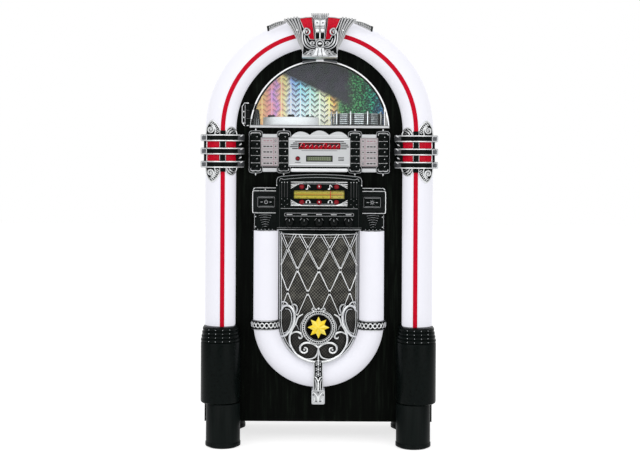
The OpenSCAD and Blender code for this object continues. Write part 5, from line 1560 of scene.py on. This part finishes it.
def radio_pilaster(bm, side, line, stud):
    """Three black ribs beside the dial, tipped with small studs."""
    for x in (77.8, 84.6, 91.6):
        wire(bm, [(side * x, RADIO_Y, 604), (side * x, RADIO_Y, 639)], 0.9, mat=3)
        bead(bm, (side * x, RADIO_Y - 0.4, 641), stud * 0.8, mat=2)
    for x, z in ((77.8, 600.5), (91.6, 600.5), (84.6, 596), (77.8, 587), (91.6, 587), (84.6, 581)):
        bead(bm, (side * x, RADIO_Y - 0.2, z), stud * 0.55)
    wire(bm, [(side * 96.8, RADIO_Y, 530), (side * 96.8, RADIO_Y, 636)], line * 0.4, mat=3)


def knob_strip(bm, line):
    """Rail under the dial and the framed marks above the knobs."""
    y = RADIO_Y - 0.1
    for half, z, thick in ((94, 577, 0.6), (103, 525.6, 1.1), (103, 530.2, 0.35)):
        wire(bm, [(-half, y, z), (half, y, z)], line * thick)
    hoop(bm, rounded(-84.5, 84.5, 558.5, 565.8, 2.6), y, line * 0.6)
    for i, x in enumerate(KNOB_X):
        block(bm, (x - 7, x + 7), (-97.5, -96.8), (560.8, 563.6), 0.3)
        if i < 4:
            block(bm, (x + 11, x + 25), (-97.9, -96.8), (559.8, 564.6), 0.5, 1)


def dial_bezel():
    """Black plate round the scale with rays, ornaments and six red domes."""
    low, high, mid, y = 582.4, 643, 611.8, -93.6
    bm = bmesh.new()
    for x, z in (((-70, 70), (low, 600.8)), ((-70, 70), (621.2, high)),
                 ((-70, -61.6), (600.8, 621.2)), ((61.6, 70), (600.8, 621.2))):
        block(bm, x, (-92.4, -89.6), z, 0, 1)
    for x in ((-66.8, -64.2), (64.2, 66.8)):
        for z in ((low + 0.5, 598.3), (623.7, high - 0.5)):
            block(bm, x, (-89.8, -86), z, 0, 1)
    # Thin bars along the top and the foot, and above and below the scale
    for half, front, heights, thick, width, mat in (
            (69.4, -94.6, (641.6, 584.2), 1, 0.5, 0), (58, -93.4, (637.4, 587.6), 0.5, 0.3, 3),
            (62.4, -92.9, (600.6, 621.4), 0.5, 0.2, 1)):
        for z in heights:
            block(bm, (-half, half), (front, -92), (z - thick, z + thick), width, mat)
    for side in (-1, 1):
        for up in (-1, 1):
            # Bright rays in the corners
            for i in range(3):
                foot, x, z = 13.6 + 4.6 * i, 49 - 4.5 * i, 25.4 + 0.8 * i
                ray = [(69.4, foot), (69.4, foot + 2.1), (x, z), (x + 1, z - 1)]
                prism(bm, [(side * a, mid + up * b) for a, b in ray], -94, -92, width=0.3)
        # A note above the scale, a horseshoe below it
        at = side * 27 - 1
        wire(bm, [(at, y, 624.4), (at, y, 634.6)], 0.9)
        wire(bm, [(at, y, 634.6), (at + 3.5, y, 632.4), (at + 6, y, 629)], 1.0, (1.2, 0.6))
        bead(bm, (at - 2.1, y, 624.6), 2.5, (1.2, 0.5, 0.8), -20)
        wire(bm, upright(arc(side * 27, 592.6, 4.6, -30, 210, 12), y), 1.0, (1.8, 0.9, 0.8, 0.9, 1.8))
    dome = [(0, -96.6), (2.4, -96.3), (4.4, -95.2), (5.7, -93.8), (6.2, -92.2), (6.2, -91), (0, -91)]
    for z in (630.2, 592.2):
        for x in (-42.5, 0, 42.5):
            turned(bm, dome, (x, z), "Y", 24, 2)
        bead(bm, (0, -96.6, z + 1), 1.3, (1, 0.5, 1.4))
    piece("dial_bezel", bm, ["bright_plated_abs", "gloss_black_abs", "red_dome", "stamped_foil"],
          "dial_plate")


def tuning_scale():
    """Yellow scale with marks and plain figures, and the needle over it."""
    y, low, high = -88.0, 598.7, 623.3
    depth = (y - 0.12, y + 0.1)
    bm = bmesh.new()
    prism(bm, rounded(-63.8, 63.8, low, high, 0.6), y, -86, width=0.2)
    for z in ((610.5, 610.9), (612, 612.4)):
        block(bm, (-56, 56), depth, z, 0, 2)
    for i in range(45):
        x = -55 + 2.5 * i
        tall = 1.6 if i % 5 else 3.4
        for z in ((613.2, 613.2 + tall), (609.6 - tall, 609.6)):
            block(bm, (x - 0.4, x + 0.4), depth, z, 0, 1)
    for i, (top, foot) in enumerate(((88, 530), (92, 600), (96, 700), (100, 900), (104, 1200), (108, 1600))):
        x = -50 + 20 * i
        figures(bm, str(top), x, y - 0.05, 618.6, 3.8, 1)
        figures(bm, str(foot), x, y - 0.05, 603.6, 3.6, 1)
    piece("tuning_scale", bm, ["dial_print", "dial_ink", "needle_red"], "dial_scale")
    bm = bmesh.new()
    at = middle("needle").x
    block(bm, (at - 0.8, at + 0.8), (-89.2, -88.3), (low, high), 0.25)
    piece("needle_blade", bm, "needle_red", "needle", "dial_needle")


def radio_knobs():
    """Five fluted knobs, each with a bright pointer and two painted highlights."""
    names = ["volume_knob", "tuning_knob", "bass_knob", "treble_knob", "function_knob"]
    profile = [(0, -73), (2.9, -73), (2.9, -97.6), (11, -97.6), (12, -98.4), (12, -100.6), (11.2, -101.8),
               (10.4, -102.2), (10, -103.4), (9.2, -113.2), (8.4, -114.8), (7, -115.3), (5.6, -114.5),
               (0, -114.2)]
    for name, x in zip(names, KNOB_X):
        bm = bmesh.new()
        turned(bm, profile, (x, KNOB_Z), "Y")
        for i in range(24):
            (x0, z0), (x1, z1) = polar(x, KNOB_Z, 10.3, 15 * i), polar(x, KNOB_Z, 9.5, 15 * i)
            wire(bm, [(x0, -102.8, z0), (x1, -112.6, z1)], 0.55)
        block(bm, (x - 0.45, x + 0.45), (-115.4, -113.6), (KNOB_Z + 3, KNOB_Z + 8), 0.2, 1)
        # Painted highlights: two short foil arcs on the skirt
        for start in (28, 122):
            wire(bm, upright(arc(x, KNOB_Z, 11.3, start, start + 30, 7), -101.6), 0.6, mat=1)
        piece(name + "_turning", bm, ["polished_black_abs", "stamped_foil"], name, name)


def wide_buttons(line):
    """Two wide buttons, one with a power sign and one with a lamp sign."""
    y, z, edge_y = -95.2, BUTTON_Z, -95.9
    for name, x in (("power_button", -BUTTON_X), ("light_button", BUTTON_X)):
        bm = bmesh.new()
        part, face = pad((39, 22, 23.4), (x, -85, z), 1.4)
        bmesh.ops.inset_region(part, faces=[face], thickness=3.2, depth=0.0)
        bmesh.ops.inset_region(part, faces=[face], thickness=0.8, depth=-1.0)
        merge(bm, part)
        for edge in (z + 10.4, z - 10.4):
            wire(bm, [(x - 17.4, edge_y, edge), (x + 17.4, edge_y, edge)], line * 0.5, mat=1)
        if name == "power_button":
            wire(bm, upright(arc(x, z, 4, 125, 415, 18), y), 0.6, mat=1)
            wire(bm, [(x, y, z + 1), (x, y, z + 5.6)], 0.6, mat=1)
        else:
            wire(bm, upright(arc(x, z, 2.8, 0, 360, 16), y), 0.6, mat=1)
            for i in range(8):
                ray = [polar(x, z, r, 45 * i) for r in (4.4, 6.4)]
                wire(bm, upright(ray, y), 0.45, mat=1)
        for at in (x - 11, x + 11):
            block(bm, (at - 2.4, at + 2.4), (-95.5, y + 0.3), (z - 0.8, z + 0.8), 0.2, 1)
        piece(name + "_cap", bm, ["gloss_black_abs", "stamped_foil"], name, name)


class JUKEBOX_OT_radio(bpy.types.Operator):
    """Model the radio with its dial, knobs and two buttons"""
    bl_idname = "jukebox.radio"
    bl_label = "Radio"

    def execute(self, context):
        sizes = context.scene.jukebox_sizes
        line, stud = sizes.outline_radius / MM, sizes.stud_radius / MM
        smoothed("radio_fascia", "gloss_black_abs", 0.8)
        bm = bmesh.new()
        radio_crown(bm, line, stud)
        for side in (-1, 1):
            radio_wing(bm, side, line, stud)
            radio_pilaster(bm, side, line, stud)
        knob_strip(bm, line)
        piece("radio_trim", bm, ["stamped_foil", "gloss_black_abs", "bright_plated_abs", "driver_steel"])
        dial_bezel()
        tuning_scale()
        radio_knobs()
        wide_buttons(line)
        return {"FINISHED"}


def grille_rim(bm):
    """Bright rim lines, the wall behind them and the black head with its rails."""
    half, wall, heights = 96.3, 98.5, [470, 420, 370, 330]
    line = [(half, 519.5)] + [(half, z) for z in heights] + arc(0, BOW_Z, half, 0, -90, 16)
    line += mirrored(reversed(line[:-1]), -1)
    for radius, inset, lift, mat in ((1.7, 0, 0, 0), (0.8, 4.8, -0.5, 2)):
        k = (half - inset) / half
        path = [(x * k, BOW_Z + (z - BOW_Z) * k if z < BOW_Z else z) for x, z in line]
        wire(bm, along_bulge(path, lift), radius, smooth=0, mat=mat)
    arm = [(wall, z) for z in [521] + heights]
    grille_skirt(bm, arm + arc(0, BOW_Z, wall, 0, -180, 40) + mirrored(arm[::-1], -1))
    for z, radius, mat in ((514.4, 1.2, 2), (507.6, 0.6, 0)):
        rail = [(-94 + 188 * i / 20, z) for i in range(21)]
        wire(bm, along_bulge(rail, -0.4), radius, smooth=0, mat=mat)
    head = [(x, bulge(x) + 0.6) for x in [-96 + 192 * i / 24 for i in range(25)]]
    prism(bm, head + [(96, PANEL), (-96, PANEL)], 513, 521, "Z", mat=1)


def grille_skirt(bm, wall):
    """A wall that follows the grille's outline from its bulge to the panel."""
    part = bmesh.new()
    edges = chain(part, along_bulge(wall, -0.2))[1]
    for vert in only("Vert", bmesh.ops.extrude_edge_only(part, edges=edges)["geom"]):
        vert.co.y = PANEL
    bmesh.ops.recalc_face_normals(part, faces=part.faces[:])
    bmesh.ops.solidify(part, geom=part.faces[:], thickness=2.5)
    merge(bm, part)


LATTICE_TOP, HEAD_RAIL = 526, 514.4  # heights where the lattice starts and shows


def grille_lattice(bm, sizes):
    """Diagonal bars, each a dark strip between two bright wires, with a bead where they cross."""
    pitch, growth, theta = 47.0, 1.08, math.radians(21.9)
    gap, radius = sizes.lattice_gap / MM / 2, sizes.lattice_radius / MM

    def spot(k, n):
        drop = pitch * (growth ** n - 1) / (growth - 1)
        return Vector((BULGE_R * math.sin(theta * k), LATTICE_TOP - drop))

    for n in range(5):
        for k in ((-1.5, -0.5, 0.5, 1.5) if n % 2 else (-2, -1, 0, 1, 2)):
            at = spot(k, n)
            for step in (-0.5, 0.5):
                if n < 4 and abs(k + step) <= 2:
                    lattice_bar(bm, at, spot(k + step, n + 1), n, gap, radius)
            if n and abs(at.x) < 95:
                y = bulge(at.x) - 0.8
                bead(bm, (at.x, y, at.y), 2.6, (0.9, 0.5, 1.2), mat=1)
                for dz in (-5.6, 5.6):
                    bead(bm, (at.x, y, at.y + dz), 1.5, (1, 0.7, 1.2), mat=2)


def lattice_bar(bm, a, b, row, gap, radius):
    """One bar, whose two wires draw closer row by row."""
    if row == 0:
        a = a.lerp(b, (LATTICE_TOP - HEAD_RAIL) / (LATTICE_TOP - b.y))
    side = Vector((b.y - a.y, a.x - b.x)).normalized()
    width = [gap * max(0.12, 1.08 - 0.36 * (row + t / 6)) for t in range(7)]
    radius *= 1.05 - 0.12 * row
    for s, r, lift, mat in ((-1, radius, -0.4, 3), (1, radius, -0.4, 2), (0, width[3] * 0.9, 0.9, 1)):
        run = [a.lerp(b, t / 6) + side * s * width[t] for t in range(7)]
        run = [p for p in run if p.x ** 2 + (p.y - MEDAL_Z) ** 2 > 38 ** 2 and abs(p.x) < 95.5]
        if len(run) > 1:
            wire(bm, along_bulge(run, lift), r, smooth=0, sides=1, mat=mat)


def grille_scrolls(bm):
    """Scrolls over the lower half of the grille, each on a wider black back that paints its shadow."""
    rows = [
        # Almond loop at the side, with a second line inside it
        ([(92, 262), (80, 267), (69, 282), (61, 299), (58.5, 317), (64, 332), (74, 339.5), (85, 337),
          (91, 327)], 3.2, (0.7, 1, 1.15, 1.1, 1, 0.9, 0.6), -1.6, 2),
        ([(88, 270), (77, 276), (70, 290), (66, 305), (66.5, 320), (72, 330), (82, 331)],
         1.2, (0.8, 1, 0.7), -1.0, 2),
        ([(60, 318), (54, 326), (52, 336), (57, 343), (64, 343), (66, 337)],
         2.2, (0.6, 1.1, 1, 0.7), -1.6, 0),
        ([(74, 340), (80, 347), (88, 348), (92, 343)], 1.9, (0.8, 1, 0.6), -1.6, 2),
        # Shield line from the badge down along the rim to the foot
        ([(38, 321), (50, 312.5), (56, 297), (65.5, 280), (70.5, 262), (67, 242), (52.5, 222), (29, 210),
          (8, 206)], 2.5, (0.6, 1, 1.1, 1.1, 1, 1, 1.2), -1.6, 2),
        # Leaf curl over the lower cell
        ([(68, 270), (58, 276.5), (48, 276.5), (40.5, 271), (41, 263.5), (46, 262), (48.5, 266)],
         2.3, (0.6, 1.2, 1, 0.7), -2.0, 2),
        ([(57, 297), (51, 290), (47.5, 282)], 1.8, (1, 0.5), -1.6, 0),
        # Volute that springs from the stem
        ([(0, 240), (8.5, 247.5), (20.5, 252), (34, 251), (43.5, 243.5), (44, 233), (36.5, 227), (28, 230.5),
          (28, 238.5), (34.5, 240)], 2.5, (0.9, 1.2, 1.2, 1, 0.9, 0.7), -2.2, 2),
        ([(0, 240), (3.6, 224), (12, 215), (30, 212.5), (48, 221)], 2.0, (1, 1.2, 1, 0.6), -1.6, 0)]
    for side in (-1, 1):
        for points, radius, taper, lift, mat in rows:
            wire(bm, upright(points, lift, side), radius, taper, mat=mat, bend=on_grille)
            # Painted shadow: a wider black wire behind each scroll
            wire(bm, upright(points, lift + 2.4, side), radius + 1, taper, mat=1, bend=on_grille)
        bead(bm, (side * 34.5, -2.6, 235), 2.6, bend=on_grille, mat=2)
    wire(bm, [(0, -2.5, 203), (0, -3, 222), (0, -2.5, 246)], 2.4, (1.2, 0.8, 1), bend=on_grille)
    bead(bm, (0, -3, 209), 3.2, bend=on_grille, mat=2)


def badge_ring(bm, beads):
    """Dark ring with bright edges, a row of beads and a small crown."""
    back, front = -109, -125.4
    turned(bm, [(33.6, back), (33.6, front + 0.8), (34.4, front), (38.9, front), (39.7, front + 1),
                (39.7, back), (33.6, back)], (0, MEDAL_Z), "Y", 96, 1)
    for r in (34, 39.5):
        hoop(bm, arc(0, MEDAL_Z, r, 0, 352.5, 48), front + 0.2, 0.9, 2)
    for i in range(beads):
        x, z = polar(0, MEDAL_Z, 36.8, 360 * i / beads)
        bead(bm, (x, front, z), 1.25, (1, 0.8, 1), fine=6, mat=2)
    for x, z, r in ((-12, 329.5, 2.6), (-6, 333.2, 2.3), (0, 335.8, 3), (6, 333.2, 2.3), (12, 329.5, 2.6)):
        bead(bm, (x, -122.5, z), r, (1, 0.8, 1.1), mat=2)
    rows = [([(4, 331)] + spiral(12, 332.5, 5.6, 1.6, 200, -1.2, 14), -121.5, 1.5, (0.8, 1.1, 0.6), 0),
            ([(15, 329), (22, 325.5), (30, 319), (35, 311)], -121, 1.7, (0.6, 1.1, 0.7), 0),
            ([(36, 310), (41, 300), (43, 290), (41.5, 278), (36, 266)], -120, 1.5, (0.6, 1, 1, 0.6), 0)]
    for side in (-1, 1):
        sprays(bm, rows, side)


def speaker_cloth():
    """The cloth is stretched over the back of the grille and cut to its outline."""
    half, foot, head, radius = 93.6, 206, 511.5, BULGE_R - 4
    part = bmesh.new()
    bmesh.ops.create_grid(part, x_segments=72, y_segments=112, size=1.0)
    uv = part.loops.layers.uv.new("Threads")
    for vert in part.verts:
        x, z = vert.co.x * half, (foot + head) / 2 + vert.co.y * (head - foot) / 2
        if z < BOW_Z:
            x *= math.sqrt(max(0.0, half ** 2 - (BOW_Z - z) ** 2)) / half
        vert.co = (x, BULGE_Y - math.sqrt(radius ** 2 - x ** 2), z)
    for face in part.faces:
        for loop in face.loops:
            at = loop.vert.co
            loop[uv].uv = (radius * math.asin(at.x / radius) * MM, at.z * MM)
    bmesh.ops.remove_doubles(part, verts=part.verts, dist=0.01)
    bmesh.ops.recalc_face_normals(part, faces=part.faces[:])
    area = sum(f.calc_area() for f in part.faces)
    made = piece("speaker_cloth_sheet", part, "woven_polyester", "speaker_cloth", merged=False)
    wall = made.modifiers.new("Cloth", "SOLIDIFY")
    wall.thickness = 0.8 * MM
    wall.offset = 1.0


def star_badge():
    """Black badge with a thin ring, and the eight-pointed faceted star on it."""
    face_y, back, peak = -121, -117, -127
    bm = bmesh.new()
    disc = [(0, face_y), (32.2, face_y), (33.2, face_y + 1), (33.2, back), (0, back)]
    turned(bm, disc, (0, MEDAL_Z), "Y", 72)
    hoop(bm, arc(0, MEDAL_Z, 31.4, 0, 352.5, 48), face_y, 0.6, 1)
    piece("badge_face", bm, ["badge_lacquer", "stamped_foil"], "badge_disc")
    part = bmesh.new()
    tips = [polar(0, MEDAL_Z, 15.4 if i % 2 else 26.5, 90 + 22.5 * i) for i in range(16)]
    rim = [part.verts.new(p) for p in upright(tips, face_y)]
    top = only("Face", bmesh.ops.extrude_face_region(part, geom=[part.faces.new(rim)])["geom"])[0]
    bmesh.ops.translate(part, vec=(0, -1.2, 0), verts=top.verts[:])
    for vert in bmesh.ops.poke(part, faces=[top])["verts"]:
        vert.co.y = peak
    bmesh.ops.recalc_face_normals(part, faces=part.faces[:])
    # Painted light: facets facing up-right and down-left take the paler enamel
    for face in part.faces:
        face.material_index = int(face.normal.x * face.normal.z > 0)
    piece("star_facets", part, ["star_enamel", "pale_enamel"], "star_badge", sharp=5)


def bow_trim():
    """Braided bands round the bow lamp's arms and the clasp at its foot."""
    bm = bmesh.new()
    prism(bm, shell(bow_line(3.4), bow_line(0.6), BOW_MID), 281.2, 304.4, "Z", 0.6, "BOTH", mat=1)
    for z in (282.4, 303.2):
        wire(bm, [(BOW_MID + u, PANEL - h, z) for u, h in bow_line(3.8)], 0.9, smooth=0)
    count, half_turn, swing, mid = 96, math.pi / 10, 5.8, 292.8
    for phase in (0, math.pi):
        braid = []
        for i, (u, h) in enumerate(bow_line(3.9, 48)[:count]):
            a = i * half_turn + phase
            braid.append((BOW_MID + u * (1 + 0.02 * math.cos(a)), PANEL - h, mid + swing * math.sin(a)))
        wire(bm, braid, 1.5, smooth=0, mat=2)
    both_sides(bm)
    bow_clasp(bm)
    piece("bow_bands", bm, CASTING, "bow_trim")


def bow_clasp(bm):
    """Strap of flowers over the bow lamp and the plate that it hangs from."""
    strap = [(10.5, 136), (11.2, 160), (10.2, 186), (11.4, 207)]
    prism(bm, mirrored(strap[:1], -1) + strap + mirrored(strap[:0:-1], -1), -119.4, -116.2, width=0.9, mat=1)
    prism(bm, rounded(-16.2, 16.2, 103.2, 138.6, 4), -122, PANEL, width=1.4)
    for side in (-1, 1):
        edge = [(10.4, 138), (11, 160), (10, 186), (11.2, 206)]
        wire(bm, upright(edge, -119.6, side), 1.4, smooth=4)
        sprays(bm, [
            ([(1, 160), (5, 168), (9, 170)], -120.4, 1.7, (1, 1.1, 0.6), 2),
            ([(8, 164), (5.5, 156), (5, 145), (6.5, 138)], -120.2, 1.7, (0.6, 1.1, 0.9), 0),
            ([(1, 113), (3, 123), (8, 130), (12, 133)], -122.4, 1.4, (1, 1.1, 0.5), 2),
            ([(12, 108), (9, 114), (10, 121)], -122.3, 1.2, (0.5, 1.1, 0.5), 2)], side)
    # Three flowers of six petals
    for z in (201, 188.5, 176.5):
        bead(bm, (0, -120.8, z), 2.6, (1, 0.7, 1), mat=2)
        for i in range(6):
            a = math.radians(60 * i + 30)
            bead(bm, (5.4 * math.cos(a), -120.2, z + 4.4 * math.sin(a)), 2.0, (1, 0.7, 1))
    wire(bm, [(0, -120.4, 162), (0, -121, 150), (0, -120.4, 137)], 2.3, (0.6, 1.1, 1.2), mat=2)
    wire(bm, [(0, -122.4, 107), (0, -122.8, 115), (0, -122.4, 126)], 1.6, (0.6, 1.2, 0.8), mat=2)
    for x, z in ((0, 132), (-5, 111), (5, 111), (-12.2, 126.5), (12.2, 126.5)):
        bead(bm, (x, -122.2, z), 1.7, mat=1)


class JUKEBOX_OT_grille(bpy.types.Operator):
    """Model the grille with its lattice, scrolls, badge, cloth and the bow lamp's trim"""
    bl_idname = "jukebox.grille"
    bl_label = "Grille"

    def execute(self, context):
        sizes = context.scene.jukebox_sizes
        bm = bmesh.new()
        grille_rim(bm)
        grille_lattice(bm, sizes)
        grille_scrolls(bm)
        badge_ring(bm, sizes.bead_count)
        piece("grille_casting", bm, CASTING + ["mirror_plate"], "grille_lattice")
        speaker_cloth()
        star_badge()
        bow_trim()
        return {"FINISHED"}


class JUKEBOX_PT_panel(bpy.types.Panel):
    """Lists the jukebox's steps, sizes and colours"""
    bl_idname = "JUKEBOX_PT_panel"
    bl_label = "Disc jukebox"
    bl_space_type = "VIEW_3D"
    bl_region_type = "UI"
    bl_category = "Jukebox"

    def draw(self, context):
        for group in (context.scene.jukebox_sizes, context.scene.jukebox_colours):
            column = self.layout.column(align=True)
            for name in group.__annotations__:
                column.prop(group, name)
        for step in STEPS:
            self.layout.operator("jukebox." + step)


STEPS = ["stage", "cabinet", "lamps", "clamps", "crest", "pedestals", "window", "chamber", "keys",
         "fascia", "radio", "grille"]
CLASSES = [JukeboxSizes, JukeboxColours, JUKEBOX_OT_stage, JUKEBOX_OT_cabinet, JUKEBOX_OT_lamps,
           JUKEBOX_OT_clamps, JUKEBOX_OT_crest, JUKEBOX_OT_pedestals, JUKEBOX_OT_window,
           JUKEBOX_OT_chamber, JUKEBOX_OT_keys, JUKEBOX_OT_fascia, JUKEBOX_OT_radio,
           JUKEBOX_OT_grille, JUKEBOX_PT_panel]


def register():
    for one in CLASSES:
        bpy.utils.register_class(one)
    bpy.types.Scene.jukebox_sizes = PointerProperty(type=JukeboxSizes)
    bpy.types.Scene.jukebox_colours = PointerProperty(type=JukeboxColours)


def unregister():
    del bpy.types.Scene.jukebox_colours
    del bpy.types.Scene.jukebox_sizes
    for one in reversed(CLASSES):
        bpy.utils.unregister_class(one)


def main():
    register()
    for step in STEPS:
        getattr(bpy.ops.jukebox, step)()


if __name__ == "__main__":
    main()
